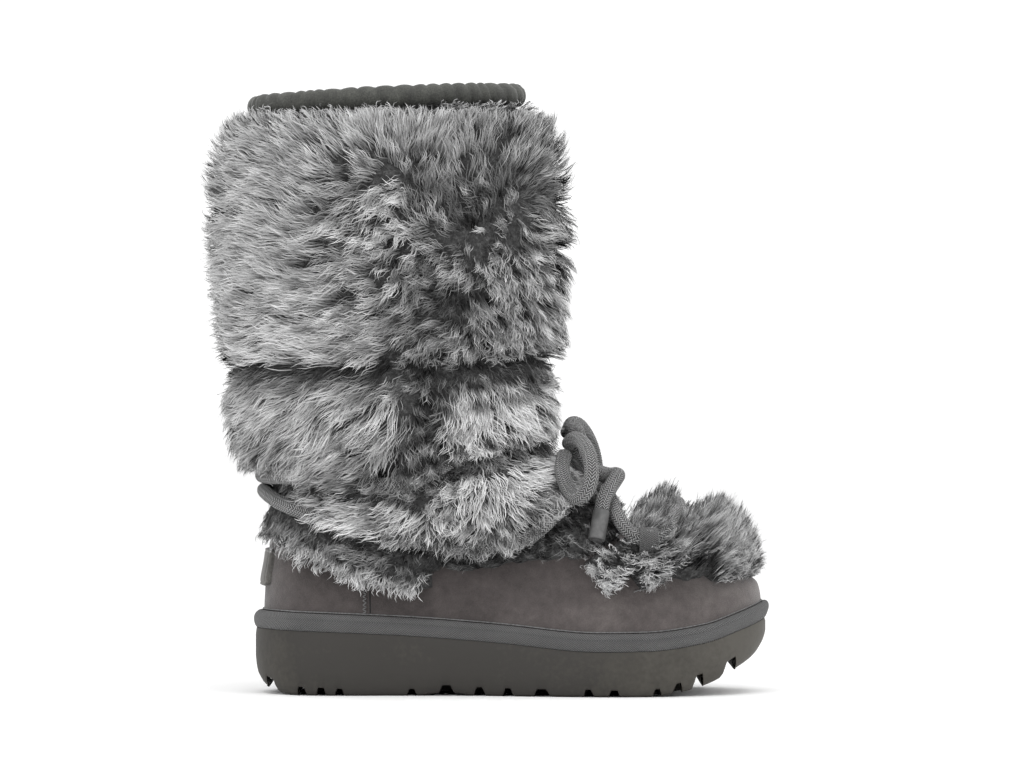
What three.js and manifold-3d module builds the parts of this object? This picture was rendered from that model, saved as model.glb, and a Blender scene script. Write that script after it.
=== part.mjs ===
// A tall winter boot for the right foot, as a scene graph of closed meshes in millimetres, +Z up, toe towards +X.
// A suede foot on a thick lugged sole, a deep-furred sheepskin shaft and vamp, a gathered drawcord collar, and a
// thick round lace that wraps the ankle twice and is tied in a bow. The outer side of the foot faces -Y.
//
// Every wall follows one surface, the last: skin(level, angle, offset). Level 0 is the feather edge, where upper
// meets sole, and each further whole number is the next row of LAST. Angle 0 is the back of the heel, a quarter
// turn is the outer side, half a turn is the toe or shin. Offset is along the outward normal.
// Up to the last line, lengths run from the back of the sole and heights from the floor.
import * as THREE from "three";
import { mergeVertices } from "three/addons/utils/BufferGeometryUtils.js";
import Module from "manifold-3d";

const wasm = await Module();
wasm.setup();

// Driving dimensions
const LAST_LENGTH = 264; // back of the sole to the toe of the upper
const BALL_WIDTH = 94; // of the upper, at the feather edge
const HEEL_HEIGHT = 34; // footbed over the floor at the heel
const BALL_HEIGHT = 23.5; // and under the ball of the foot
const LEG_WIDTH = 92; // of the leg's hide, across the shin
const WALL = 4; // hide with its short wool pressed flat
const GAP = 0.3; // between pieces that touch
const SOLE_LIP = 5; // how far the sole stands out from the feather edge
const INSOLE_THICKNESS = 6;
const LACE_RADIUS = 4;
const LACE_STANDOFF = 5; // lace centre over the fur's floor in a fold
const LACE_SIDES = 7;
const AROUND = 36; // columns in each wall; an even number

const HALF_BALL = BALL_WIDTH / 2;
const LEG = LEG_WIDTH / BALL_WIDTH;

// Rows of the last from the sole to the collar. back and front are distances along the foot, half is the widest
// half width as a share of the ball's, foot is how far the row still has the foot's outline and rides on the
// footbed, and the rises are heights over the footbed at the back, the middle and the front of the row.
const LAST = [
  { name: "feather", back: 5.0, front: 1.0, half: 1.0, foot: 1, riseBack: 0, riseMid: 0, riseFront: 0 },
  { name: "wall", back: 4.5, front: 1.009, half: 1.02, foot: 1, riseBack: 12, riseMid: 12, riseFront: 9.5 },
  { name: "quarter", back: 5.0, front: 1.003, half: 0.99, foot: 1, riseBack: 24, riseMid: 26, riseFront: 19 },
  { name: "crown", back: 7.0, front: 0.978, half: 0.94, foot: 1, riseBack: 36, riseMid: 39, riseFront: 27 },
  { name: "toe top", back: 8.5, front: 0.92, half: 0.88, foot: 0.95, riseBack: 49, riseMid: 52, riseFront: 42 },
  { name: "vamp", back: 10.0, front: 0.84, half: 0.84, foot: 0.85, riseBack: 61, riseMid: 64.5, riseFront: 56 },
  { name: "low instep", back: 10.5, front: 0.757, half: 0.82, foot: 0.7, riseBack: 74, riseMid: 77.5, riseFront: 68.4 },
  { name: "instep", back: 10.5, front: 0.674, half: 0.82, foot: 0.5, riseBack: 89, riseMid: 92.5, riseFront: 85 },
  { name: "throat", back: 9.5, front: 0.598, half: 0.84, foot: 0.3, riseBack: 104, riseMid: 107.5, riseFront: 106.5 },
  { name: "ankle", back: 7.0, front: 0.557, half: 0.88, foot: 0.15, riseBack: 119, riseMid: 123, riseFront: 128 },
  { name: "low calf", back: 3.5, front: 0.542, half: 0.93, foot: 0.05, riseBack: 140, riseMid: 144.5, riseFront: 151 },
  { name: "calf", back: 0.0, front: 0.54, half: 0.96, foot: 0, riseBack: 170, riseMid: 172, riseFront: 175 },
  { name: "mid leg", back: -3.0, front: 0.542, half: LEG, foot: 0, riseBack: 220, riseMid: 220, riseFront: 221 },
  { name: "top leg", back: -4.2, front: 0.537, half: LEG, foot: 0, riseBack: 270, riseMid: 270, riseFront: 271 },
  { name: "collar", back: -1.6, front: 0.529, half: LEG, foot: 0, riseBack: 309, riseMid: 312.6, riseFront: 316 },
];
const THROAT_LEVEL = 8.5; // where the suede foot stops and the furred shaft goes on

// The foot's outline seen from above: half widths as shares of those of an ellipse, at shares of the length, and
// how far the middle of the row lies towards the inner side.
const FOOT_PLAN = [
  { at: 0, outer: 1.33, inner: 1.33, inward: 0 },
  { at: 0.05, outer: 1.3, inner: 1.3, inward: 0 },
  { at: 0.15, outer: 1.04, inner: 1.02, inward: 0 },
  { at: 0.3, outer: 0.8, inner: 0.76, inward: 0 },
  { at: 0.42, outer: 0.76, inner: 0.68, inward: 0 },
  { at: 0.55, outer: 0.91, inner: 0.82, inward: 0 },
  { at: 0.68, outer: 1.1, inner: 1.05, inward: 0 },
  { at: 0.78, outer: 1.21, inner: 1.19, inward: 0.5 },
  { at: 0.88, outer: 1.33, inner: 1.33, inward: 2 },
  { at: 0.95, outer: 1.43, inner: 1.43, inward: 3.2 },
  { at: 1, outer: 1.46, inner: 1.46, inward: 4 },
];

// Heights of the footbed and of the tread along the sole: heel, arch, ball and toe spring.
const FOOTBED = [
  { at: 0, z: HEEL_HEIGHT + 0.4 },
  { at: 40, z: HEEL_HEIGHT - 0.8 },
  { at: 80, z: HEEL_HEIGHT - 2.6 },
  { at: 130, z: BALL_HEIGHT + 4.2 },
  { at: 180, z: BALL_HEIGHT },
  { at: 205, z: BALL_HEIGHT + 0.3 },
  { at: 234, z: BALL_HEIGHT + 4 },
  { at: 254, z: BALL_HEIGHT + 10.4 },
  { at: 270, z: BALL_HEIGHT + 16.2 },
];
const TREAD = [
  { at: 0, z: 9.5 },
  { at: 8, z: 3.6 },
  { at: 16, z: 1 },
  { at: 26, z: 0 },
  { at: 84, z: 0 },
  { at: 101, z: 1.8 },
  { at: 118, z: 0 },
  { at: 206, z: 0 },
  { at: 220, z: 1.8 },
  { at: 236, z: 6 },
  { at: 253, z: 14.6 },
  { at: 262, z: 20.5 },
  { at: 270, z: 30 },
];

// The sole's side from the tread up: level is the share of its height, lip the share of SOLE_LIP.
const SOLE_SIDE = [
  { level: 0, lip: 0.3 },
  { level: 0.1, lip: 0.75 },
  { level: 0.4, lip: 1 },
  { level: 0.85, lip: 1 },
  { level: 1, lip: 0.9 },
];

// Grooves between the lugs, across the sole: place, width and height over the tread, and how far each reaches in
// from the sole's edges, where a zero goes right through.
const GROOVES = [
  { at: 10.8, width: 6.5, height: 5.4, reach: 0 },
  { at: 26.2, width: 5.4, height: 4.6, reach: 0 },
  { at: 36, width: 6, height: 4.2, reach: 15 },
  { at: 45.5, width: 5.6, height: 3.8, reach: 15 },
  { at: 83, width: 6, height: 3.6, reach: 15 },
  { at: 101, width: 9, height: 3.8, reach: 16 },
  { at: 118.5, width: 7, height: 4.6, reach: 16 },
  { at: 133.5, width: 6, height: 4.2, reach: 18 },
  { at: 151, width: 10, height: 4, reach: 18 },
  { at: 175, width: 6, height: 4, reach: 18 },
  { at: 188, width: 7, height: 3.6, reach: 18 },
  { at: 210, width: 5, height: 4, reach: 18 },
  { at: 220.5, width: 5.5, height: 5, reach: 16 },
  { at: 231, width: 6.5, height: 6.6, reach: 0 },
  { at: 247, width: 8.5, height: 6.6, reach: 0 },
];

// Folds of the furred shaft from the hem to the rim. z is the height at which the fold crosses the back, the side,
// the flank over the instep and the front; fur is how deep the fleece stands over the hide there.
const FOLDS = [
  { name: "hem", z: [81, 50, 76, 89], fur: [5, 6, 7, 8] },
  { name: "hem roll", z: [87.5, 56, 80, 93], fur: [6, 14, 12, 11] },
  { name: "ankle roll", z: [97, 65, 84.5, 97.5], fur: [5, 16, 11, 9] },
  { name: "lower lace", z: [106.4, 76, 90, 104], fur: [1, 8.5, 6, 4] },
  { name: "instep roll", z: [109, 85, 100, 112], fur: [2, 16.5, 12, 8] },
  { name: "middle roll", z: [111.6, 102, 113, 121], fur: [2, 20, 15, 9] },
  { name: "upper lace", z: [115.2, 115, 127, 133], fur: [1, 9, 7, 4] },
  { name: "calf hem", z: [124, 125.5, 138, 144], fur: [7.5, 17, 14.5, 13] },
  { name: "calf roll", z: [136, 141, 150, 156], fur: [17, 22, 19, 15.5] },
  { name: "calf top", z: [158, 160, 166, 168], fur: [19.5, 22, 20, 17] },
  { name: "seam", z: [175, 174, 176, 178], fur: [17.5, 17, 17, 16] },
  { name: "cuff foot", z: [191, 190, 191, 192], fur: [18, 22, 21, 19] },
  { name: "cuff", z: [235, 235, 235, 235], fur: [20.5, 25, 25, 22.5] },
  { name: "cuff crest", z: [262, 262, 262, 262], fur: [22, 24, 24, 25.5] },
  { name: "cuff shoulder", z: [284, 284, 285, 286], fur: [18.5, 20, 21, 20] },
  { name: "cuff top", z: [294, 296.5, 298, 299], fur: [11, 13, 13, 12] },
  { name: "rim", z: [301, 304.6, 306, 307.5], fur: [4, 4.5, 4.5, 5] },
];
const FOLD_ANGLES = [0, 85, 120, 180]; // degrees, for the four values of each fold

// Rolls of the furred vamp, as shares of the way from its edge over the toe up to the shaft's hem.
const VAMP_ROLLS = [
  { name: "edge", at: 0, furFlank: 4, furFront: 5 },
  { name: "toe roll", at: 0.17, furFlank: 11, furFront: 21 },
  { name: "toe crest", at: 0.43, furFlank: 14, furFront: 33 },
  { name: "lace valley", at: 0.62, furFlank: 7, furFront: 15 },
  { name: "vamp crest", at: 0.8, furFlank: 12, furFront: 28 },
  { name: "hem side", at: 1, furFlank: 6, furFront: 14 },
];
const VAMP_EDGE = { flank: 54, front: 60 }; // heights of the vamp's edge
const VAMP_FLANK_ANGLE = 112; // degrees from the back, where the vamp's fur begins on each side

// Welt: a padded braid that covers the joint between upper and sole.
const WELT = [
  { rise: 0, out: 4.6 },
  { rise: 2.4, out: 5.5 },
  { rise: 6.2, out: 5.2 },
  { rise: 9, out: 2.6 },
];

// Drawcord collar, a gathered tube round the top of the leg.
const COLLAR = { zBack: 307.8, zSide: 311.2, zFront: 314.2, halfHeight: 6, halfThickness: 4.6, sides: 7 };

// Blank leather tab on the back of the heel.
const HEEL_TAB = { halfAngle: 0.25, lowLevel: 1.8, highLevel: 3.5, thickness: 2.4 };

// Routes of the loose lace, by hand: x along the foot, y towards the inner side, z over the floor.
const KNOT = { at: [165, -3, 132], radii: [6.5, 9, 7] };
const LACE_ROUTES = {
  lace_vamp: [
    [184, -20.5, 107], [187, -31, 100.5], [190.5, -40, 92.5], [195.5, -45, 86], [201, -47, 82.5], [206, -47, 81.5],
    [210.5, -45.5, 83], [215.5, -39, 88], [219.5, -28, 94], [222, -14, 97.8], [222.5, 0, 99], [222, 14, 97.8],
    [219.5, 28, 94], [215.5, 39, 88], [210.5, 45.5, 83], [206, 47, 81.5], [201, 47, 82.5], [195.5, 45, 86],
    [190.5, 40, 92.5], [187, 31, 100.5], [184, 20.5, 107],
  ],
  lace_loop_outer: [
    [165, -14, 131], [167, -23, 133.3], [170.5, -35, 132.8], [174, -46, 128], [176, -54.5, 120.5],
    [175.8, -58, 112.5], [173, -56.5, 106], [168.5, -51, 103.4], [164.5, -45, 106.6], [162, -39.5, 113],
    [161.3, -32.5, 119.5], [162.5, -23.5, 125],
  ],
  lace_loop_inner: [
    [164.5, 7.5, 136.5], [167, 20, 141], [171, 34, 140], [175.5, 47, 134], [179, 57, 125], [180.5, 61.5, 114.5],
    [179.5, 58.5, 105.5], [177.3, 50.5, 102], [175.3, 42.5, 105], [173, 35.5, 111.5], [169.5, 27, 118.5], [165.5, 14.5, 125],
  ],
  lace_end_outer: [
    [171, -7.5, 126], [174.6, -9.5, 121], [179.6, -11, 115.8], [184.8, -12.5, 113.9], [188.2, -17, 113.8],
    [190.3, -24.5, 114.6], [189.4, -32, 113], [186, -38, 108], [182.6, -42, 102], [181.6, -44, 96.5],
  ],
  lace_end_inner: [
    [171, 3, 126], [174.6, 4.5, 121.4], [179.8, 6, 116.4], [184.8, 9.5, 114.5], [188.2, 15.5, 114],
    [190.3, 24, 114], [189, 32, 111.5], [186.8, 39.5, 106], [184.8, 44, 99.5],
  ],
};
const KEEPER = { radius: 6.2, route: [[202.4, -47, 82.1], [206, -47, 81.5], [209.4, -46, 82.4]] };
const AGLET = { length: 16, radius: 4.4, sides: 12 };

const COLOURS = {
  suede: { color: 0x5e5a59, roughness: 0.95 },
  fur: { color: 0x86867f, roughness: 1 },
  sole: { color: 0x4a4741, roughness: 0.8 },
  braid: { color: 0x666462, roughness: 0.9 },
  lace: { color: 0x727271, roughness: 0.9 },
  tip: { color: 0x676766, roughness: 0.6 },
  lining: { color: 0x8d8c88, roughness: 1 },
  drawcord: { color: 0x55564f, roughness: 0.85 },
};

// Value at x of a smooth curve through the points (xs, ys), with no overshoot between them.
function smooth(xs, ys, x) {
  if (x <= xs[0]) return ys[0];
  const last = xs.length - 1;
  if (x >= xs[last]) return ys[last];
  const slope = (k) => (ys[k + 1] - ys[k]) / (xs[k + 1] - xs[k]);
  const tangent = (k) => {
    if (k === 0) return slope(0);
    if (k === last) return slope(last - 1);
    const before = slope(k - 1);
    const after = slope(k);
    return before * after <= 0 ? 0 : (2 * before * after) / (before + after);
  };
  const i = xs.findIndex((value) => value > x) - 1;
  const h = xs[i + 1] - xs[i];
  const t = (x - xs[i]) / h;
  const rise = t * t * (3 - 2 * t);
  const bend = h * t * (1 - t) * ((1 - t) * tangent(i) - t * tangent(i + 1));
  return ys[i] + (ys[i + 1] - ys[i]) * rise + bend;
}

const column = (table, key) => table.map((row) => row[key]);
const lookUp = (table, key, at) => smooth(column(table, "at"), column(table, key), at);
const LEVELS = LAST.map((_, row) => row);
const lastValue = (key, level) => smooth(LEVELS, column(LAST, key), level);
const footbed = (x) => lookUp(FOOTBED, "z", x);
const tread = (x) => lookUp(TREAD, "z", x);

// A point of the last at a level and an angle.
function lastPoint(level, angle) {
  const back = lastValue("back", level);
  const front = lastValue("front", level) * LAST_LENGTH;
  const foot = lastValue("foot", level);
  const share = (1 - Math.cos(angle)) / 2;
  const outer = Math.sin(angle) >= 0;
  const outline = 1 + foot * (lookUp(FOOT_PLAN, outer ? "outer" : "inner", share) - 1);
  const halfWidth = lastValue("half", level) * HALF_BALL * outline;
  const x = back + (front - back) * share;
  const rise =
    lastValue("riseBack", level) * (1 - share) * (1 - 2 * share) +
    lastValue("riseMid", level) * 4 * share * (1 - share) +
    lastValue("riseFront", level) * share * (2 * share - 1);
  const y = foot * lookUp(FOOT_PLAN, "inward", share) - halfWidth * Math.sin(angle);
  return new THREE.Vector3(x, y, rise + foot * footbed(x));
}

// A point at an offset from the last along its outward normal.
function skin(level, angle, offset) {
  const step = 0.01;
  const top = LAST.length - 1;
  const low = Math.max(0, level - step);
  const high = Math.min(top, level + step);
  const around = lastPoint(level, angle + step).sub(lastPoint(level, angle - step));
  const up = lastPoint(high, angle).sub(lastPoint(low, angle));
  const normal = around.cross(up).normalize();
  const point = lastPoint(level, angle).addScaledVector(normal, offset);
  if (level === 0) point.z = footbed(point.x);
  return point;
}

// The level at which the last reaches a height, on the line of one angle.
function levelAt(height, angle) {
  let low = 0;
  let high = LAST.length - 1;
  for (let n = 0; n < 30; n++) {
    const middle = (low + high) / 2;
    if (lastPoint(middle, angle).z < height) low = middle;
    else high = middle;
  }
  return (low + high) / 2;
}

const angleOf = (col) => (2 * Math.PI * col) / AROUND;
const degreesFromBack = (angle) => THREE.MathUtils.radToDeg(Math.acos(Math.cos(angle)));

function geometryOf(points, triangles) {
  const geometry = new THREE.BufferGeometry().setFromPoints(points);
  geometry.setIndex(triangles);
  geometry.computeVertexNormals();
  return geometry;
}

// A wall between two lattices of points, outer and inner, each a function of row and column, with its rims closed.
// A closed wall joins its last column to its first.
function wall(rows, cols, closed, outer, inner) {
  const points = [];
  for (const side of [outer, inner])
    for (let row = 0; row < rows; row++) for (let col = 0; col < cols; col++) points.push(side(row, col));
  const at = (side, row, col) => (side * rows + row) * cols + (col % cols);
  const triangles = [];
  const quad = (a, b, c, d) => triangles.push(a, b, c, a, c, d);
  const spans = closed ? cols : cols - 1;
  for (let col = 0; col < spans; col++) {
    for (let row = 0; row < rows - 1; row++) {
      quad(at(0, row, col), at(0, row, col + 1), at(0, row + 1, col + 1), at(0, row + 1, col));
      quad(at(1, row, col), at(1, row + 1, col), at(1, row + 1, col + 1), at(1, row, col + 1));
    }
    quad(at(1, 0, col), at(1, 0, col + 1), at(0, 0, col + 1), at(0, 0, col));
    const top = rows - 1;
    quad(at(0, top, col), at(0, top, col + 1), at(1, top, col + 1), at(1, top, col));
  }
  if (!closed)
    for (let row = 0; row < rows - 1; row++) {
      quad(at(1, row, 0), at(0, row, 0), at(0, row + 1, 0), at(1, row + 1, 0));
      const end = cols - 1;
      quad(at(0, row, end), at(1, row, end), at(1, row + 1, end), at(0, row + 1, end));
    }
  return geometryOf(points, triangles);
}

// A solid stack of rings, whose ends are ruled straight across from one side to the other.
function stack(rings) {
  const points = rings.flat();
  const count = rings[0].length;
  const at = (ring, col) => ring * count + (col % count);
  const triangles = [];
  for (let ring = 0; ring < rings.length - 1; ring++)
    for (let col = 0; col < count; col++) {
      const [a, b] = [at(ring, col), at(ring, col + 1)];
      const [c, d] = [at(ring + 1, col + 1), at(ring + 1, col)];
      triangles.push(a, b, c, a, c, d);
    }
  const top = rings.length - 1;
  for (let col = 0; col < count / 2; col++) {
    const pair = (ring) => [at(ring, col), at(ring, col + 1), at(ring, count - col - 1), at(ring, count - col)];
    const [a, b, c, d] = pair(0);
    const [e, f, g, h] = pair(top);
    if (col < count / 2 - 1) triangles.push(a, c, b, e, f, g);
    if (col > 0) triangles.push(a, d, c, e, g, h);
  }
  return geometryOf(points, triangles);
}

// A closed tube of an elliptical section round a ring of centres, where across gives the section's first axis.
function ringTube(cols, sides, centre, across, halfAcross, halfUp) {
  const up = new THREE.Vector3(0, 0, 1);
  const points = [];
  for (let col = 0; col < cols; col++)
    for (let side = 0; side < sides; side++) {
      const turn = (2 * Math.PI * side) / sides;
      const point = centre(col).clone();
      point.addScaledVector(across(col), halfAcross * Math.cos(turn));
      point.addScaledVector(up, halfUp * Math.sin(turn));
      points.push(point);
    }
  const at = (col, side) => (col % cols) * sides + (side % sides);
  const triangles = [];
  for (let col = 0; col < cols; col++)
    for (let side = 0; side < sides; side++) {
      const [a, b] = [at(col, side), at(col + 1, side)];
      const [c, d] = [at(col + 1, side + 1), at(col, side + 1)];
      triangles.push(a, b, c, a, c, d);
    }
  return geometryOf(points, triangles);
}

const toSolid = (geometry) => {
  const bare = geometry.index ? geometry.toNonIndexed() : geometry.clone();
  for (const name of Object.keys(bare.attributes)) if (name !== "position") bare.deleteAttribute(name);
  const merged = mergeVertices(bare, 1e-3);
  const triVerts = new Uint32Array(merged.index.array);
  const vertProperties = merged.attributes.position.array;
  return new wasm.Manifold(new wasm.Mesh({ numProp: 3, vertProperties, triVerts }));
};

const fromSolid = (solid) => {
  const mesh = solid.getMesh();
  const geometry = new THREE.BufferGeometry();
  geometry.setAttribute("position", new THREE.BufferAttribute(mesh.vertProperties, 3));
  geometry.setIndex(new THREE.BufferAttribute(mesh.triVerts, 1));
  geometry.computeVertexNormals();
  return geometry;
};

// A ring of the last's outline, pushed out level with the ground.
const outlineRing = (out, height) =>
  Array.from({ length: AROUND }, (_, col) => {
    const point = skin(0, angleOf(col), out);
    point.z = height(point.x);
    return point;
  });

// A groove's cutter: a tapered bar across the sole from y0 to y1.
function grooveBar(groove, y0, y1) {
  const floor = tread(groove.at);
  const below = 4;
  const [wide, narrow] = [groove.width / 2, groove.width / 2.8];
  const shape = new THREE.Shape();
  shape.moveTo(groove.at - wide, floor - below);
  shape.lineTo(groove.at - narrow, floor + groove.height);
  shape.lineTo(groove.at + narrow, floor + groove.height);
  shape.lineTo(groove.at + wide, floor - below);
  shape.closePath();
  const bar = new THREE.ExtrudeGeometry(shape, { depth: y1 - y0, bevelEnabled: false });
  return toSolid(bar.rotateX(Math.PI / 2).translate(0, y1, 0));
}

function outsole() {
  const top = (x) => footbed(x) - GAP;
  const rings = SOLE_SIDE.map(({ level, lip }) =>
    outlineRing(lip * SOLE_LIP, (x) => tread(x) + level * (top(x) - tread(x))),
  );
  let solid = toSolid(stack(rings));
  const past = BALL_WIDTH; // beyond either edge of the sole
  for (const groove of GROOVES) {
    const share = groove.at / LAST_LENGTH;
    const angle = Math.acos(1 - 2 * share);
    const [outerEdge, innerEdge] = [lastPoint(0, angle).y - SOLE_LIP, lastPoint(0, -angle).y + SOLE_LIP];
    const bars = groove.reach
      ? [grooveBar(groove, -past, outerEdge + groove.reach), grooveBar(groove, innerEdge - groove.reach, past)]
      : [grooveBar(groove, -past, past)];
    for (const bar of bars) solid = solid.subtract(bar);
  }
  return fromSolid(solid);
}

function insole() {
  const ring = (level, rise) =>
    Array.from({ length: AROUND }, (_, col) => {
      const point = skin(level, angleOf(col), -WALL - 2 * GAP);
      point.z = footbed(point.x) + rise;
      return point;
    });
  return stack([ring(0, GAP), ring(0.25, INSOLE_THICKNESS)]);
}

// The suede foot, open at the throat and underneath.
function upper() {
  const rows = [0, 0.5, 1, 2, 3, 4, 5, 6, 7, THROAT_LEVEL];
  return wall(
    rows.length, AROUND, true,
    (row, col) => skin(rows[row], angleOf(col), 0),
    (row, col) => skin(rows[row], angleOf(col), -WALL),
  );
}

// A fold's height or fur at an angle, level with itself at the back and the front of the leg.
function foldValue(fold, key, angle) {
  const [back, side, flank, front] = FOLD_ANGLES;
  const [atBack, atSide, atFlank, atFront] = fold[key];
  const angles = [-side, back, side, flank, front, 2 * front - flank];
  return smooth(angles, [atSide, atBack, atSide, atFlank, atFront, atFlank], degreesFromBack(angle));
}

const foldLevel = (fold, angle) => levelAt(foldValue(fold, "z", angle), angle);
const foldNamed = (name) => FOLDS.find((fold) => fold.name === name);

// What is inside a gap round the suede foot, up to just over its rim.
function footForm() {
  const over = THROAT_LEVEL + 0.03;
  const ring = (row, offset) => Array.from({ length: AROUND }, (_, col) => skin(row, angleOf(col), offset));
  const rings = [0, 0.5, 1, 2, 3, 4, 5, 6, 7, over].map((row) => ring(row, GAP));
  return toSolid(stack([...rings, ring(over, -WALL - GAP)]));
}

// A piece with the room taken out of it that other solids need.
const pressed = (piece, ...others) => fromSolid(others.reduce((solid, other) => solid.subtract(other), toSolid(piece)));

// The furred shaft. Its fleece is part of its wall. Above the throat it is the leg of the boot, and below it, it
// hangs over the suede foot down to its hem. The lace presses into it.
function shaft() {
  const inner = (row, col) => skin(foldLevel(FOLDS[row], angleOf(col)), angleOf(col), -WALL);
  const outer = (row, col) => {
    const angle = angleOf(col);
    return skin(foldLevel(FOLDS[row], angle), angle, foldValue(FOLDS[row], "fur", angle));
  };
  return pressed(wall(FOLDS.length, AROUND, true, outer, inner), footForm(), ...laceForms());
}

// The furred vamp: a saddle of sheepskin over the toe and instep, from its edge up to the shaft's hem.
function vampFur() {
  const cols = 17;
  const start = THREE.MathUtils.degToRad(VAMP_FLANK_ANGLE);
  const angle = (col) => start + ((2 * Math.PI - 2 * start) * col) / (cols - 1);
  const frontShare = (a) => (degreesFromBack(a) - VAMP_FLANK_ANGLE) / (180 - VAMP_FLANK_ANGLE);
  const between = (low, high, share) => low + (high - low) * Math.sin((share * Math.PI) / 2);
  const level = (roll, a) => {
    const edge = between(VAMP_EDGE.flank, VAMP_EDGE.front, frontShare(a));
    const hem = foldValue(FOLDS[0], "z", a) - 2;
    return levelAt(edge + (hem - edge) * roll.at, a);
  };
  const at = (row, col, depth) => skin(level(VAMP_ROLLS[row], angle(col)), angle(col), depth);
  const thinEnd = (share) => Math.min(1, 0.3 + 5 * share);
  const outer = (row, col) => {
    const roll = VAMP_ROLLS[row];
    const share = frontShare(angle(col));
    return at(row, col, thinEnd(share) * between(roll.furFlank, roll.furFront, share));
  };
  const saddle = wall(VAMP_ROLLS.length, cols, false, outer, (row, col) => at(row, col, -1));
  return pressed(saddle, footForm(), ...laceForms(), ...keeperForms());
}

function welt() {
  const point = (row, col, out) => {
    const riseAtLevelOne = LAST[1].riseBack;
    const made = skin(WELT[row].rise / riseAtLevelOne, angleOf(col), out);
    made.z = footbed(made.x) + WELT[row].rise;
    return made;
  };
  return wall(
    WELT.length, AROUND, true,
    (row, col) => point(row, col, WELT[row].out),
    (row, col) => point(row, col, 2 * GAP),
  );
}

function collar() {
  const top = LAST.length - 1;
  const middle = (col) => {
    const angle = angleOf(col);
    const point = skin(top, angle, -WALL / 2);
    const away = (1 - Math.cos(angle)) / 2;
    const side = Math.sin(angle) ** 2;
    const ends = COLLAR.zBack + (COLLAR.zFront - COLLAR.zBack) * away;
    point.z = ends + (COLLAR.zSide - (COLLAR.zBack + COLLAR.zFront) / 2) * side;
    return point;
  };
  const across = (col) => skin(top, angleOf(col), 1).sub(skin(top, angleOf(col), 0)).setZ(0).normalize();
  return ringTube(AROUND, COLLAR.sides, middle, across, COLLAR.halfThickness, COLLAR.halfHeight);
}

function heelTab() {
  const [rows, cols] = [5, 7];
  const at = (row, col, offset) => {
    const level = HEEL_TAB.lowLevel + ((HEEL_TAB.highLevel - HEEL_TAB.lowLevel) * row) / (rows - 1);
    const angle = HEEL_TAB.halfAngle * ((2 * col) / (cols - 1) - 1);
    return skin(level, angle, offset);
  };
  const outer = (row, col) => at(row, col, GAP + HEEL_TAB.thickness);
  return pressed(wall(rows, cols, false, outer, (row, col) => at(row, col, -1)), footForm());
}

// A turn of lace round the ankle, in a fold of the fur.
function laceWrap(name, radius = LACE_RADIUS) {
  const fold = foldNamed(name);
  const over = (col, extra) => {
    const angle = angleOf(col);
    return skin(foldLevel(fold, angle), angle, foldValue(fold, "fur", angle) + extra);
  };
  const centre = (col) => over(col, LACE_STANDOFF);
  const across = (col) => over(col, LACE_STANDOFF).sub(over(col, 0)).setZ(0).normalize();
  return ringTube(AROUND, LACE_SIDES, centre, across, radius, radius);
}

const disc = (radius, sides) => {
  const shape = new THREE.Shape();
  for (let side = 0; side < sides; side++) {
    const turn = (2 * Math.PI * side) / sides;
    shape[side ? "lineTo" : "moveTo"](radius * Math.cos(turn), radius * Math.sin(turn));
  }
  shape.closePath();
  return shape;
};

// A length of lace along its route, with a step every two diameters or less.
function laceAlong(route, radius = LACE_RADIUS) {
  const path = new THREE.CatmullRomCurve3(route.map((point) => new THREE.Vector3(...point)), false, "centripetal");
  const steps = Math.ceil(path.getLength() / (1.7 * LACE_RADIUS));
  return new THREE.ExtrudeGeometry(disc(radius, LACE_SIDES), { steps, extrudePath: path, bevelEnabled: false });
}

// The stiff tip on a lace's end, going on straight from it and down.
function aglet(route, room = 0) {
  const [before, end] = route.slice(-2).map((point) => new THREE.Vector3(...point));
  const direction = end.clone().sub(before).normalize();
  const start = end.clone().addScaledVector(direction, GAP);
  const path = new THREE.LineCurve3(start, start.clone().addScaledVector(direction, AGLET.length));
  const shape = disc(AGLET.radius + room, AGLET.sides);
  return new THREE.ExtrudeGeometry(shape, { steps: 1, extrudePath: path, bevelEnabled: false });
}

// The knot, round the upper turn of lace.
function knot(room = 0) {
  const radii = KNOT.radii.map((radius) => radius + room);
  const ball = new THREE.SphereGeometry(1, 12, 8).scale(...radii).translate(...KNOT.at);
  return pressed(ball, toSolid(laceWrap("upper lace", LACE_RADIUS + GAP)));
}

// A webbing tunnel on the vamp's flank that the lace runs through, at the lowest point of its route.
function keeper(side, room = 0) {
  const ends = KEEPER.route.map(([x, y, z]) => new THREE.Vector3(x, side * y, z));
  const shape = disc(KEEPER.radius + room, 8);
  if (!room) shape.holes.push(disc(LACE_RADIUS + 2 * GAP, 8));
  const path = new THREE.CatmullRomCurve3(ends, false, "centripetal");
  return new THREE.ExtrudeGeometry(shape, { steps: 2, extrudePath: path, bevelEnabled: false });
}

// What the lace, its knot and tips, and its keepers need, with a gap round them.
const laceForms = () => {
  const wide = LACE_RADIUS + GAP;
  const wraps = ["lower lace", "upper lace"].map((name) => laceWrap(name, wide));
  const loose = Object.values(LACE_ROUTES).map((route) => laceAlong(route, wide));
  const tips = ["outer", "inner"].map((side) => aglet(LACE_ROUTES[`lace_end_${side}`], GAP));
  return [...wraps, ...loose, ...tips, knot(GAP)].map(toSolid);
};
const keeperForms = () => [1, -1].map((side) => toSolid(keeper(side, GAP)));

const boot = new THREE.Group();
function add(name, geometry, look) {
  const material = new THREE.MeshStandardMaterial({ metalness: 0, flatShading: true, ...COLOURS[look] });
  const mesh = new THREE.Mesh(geometry, material);
  mesh.name = name;
  boot.add(mesh);
}

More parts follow.
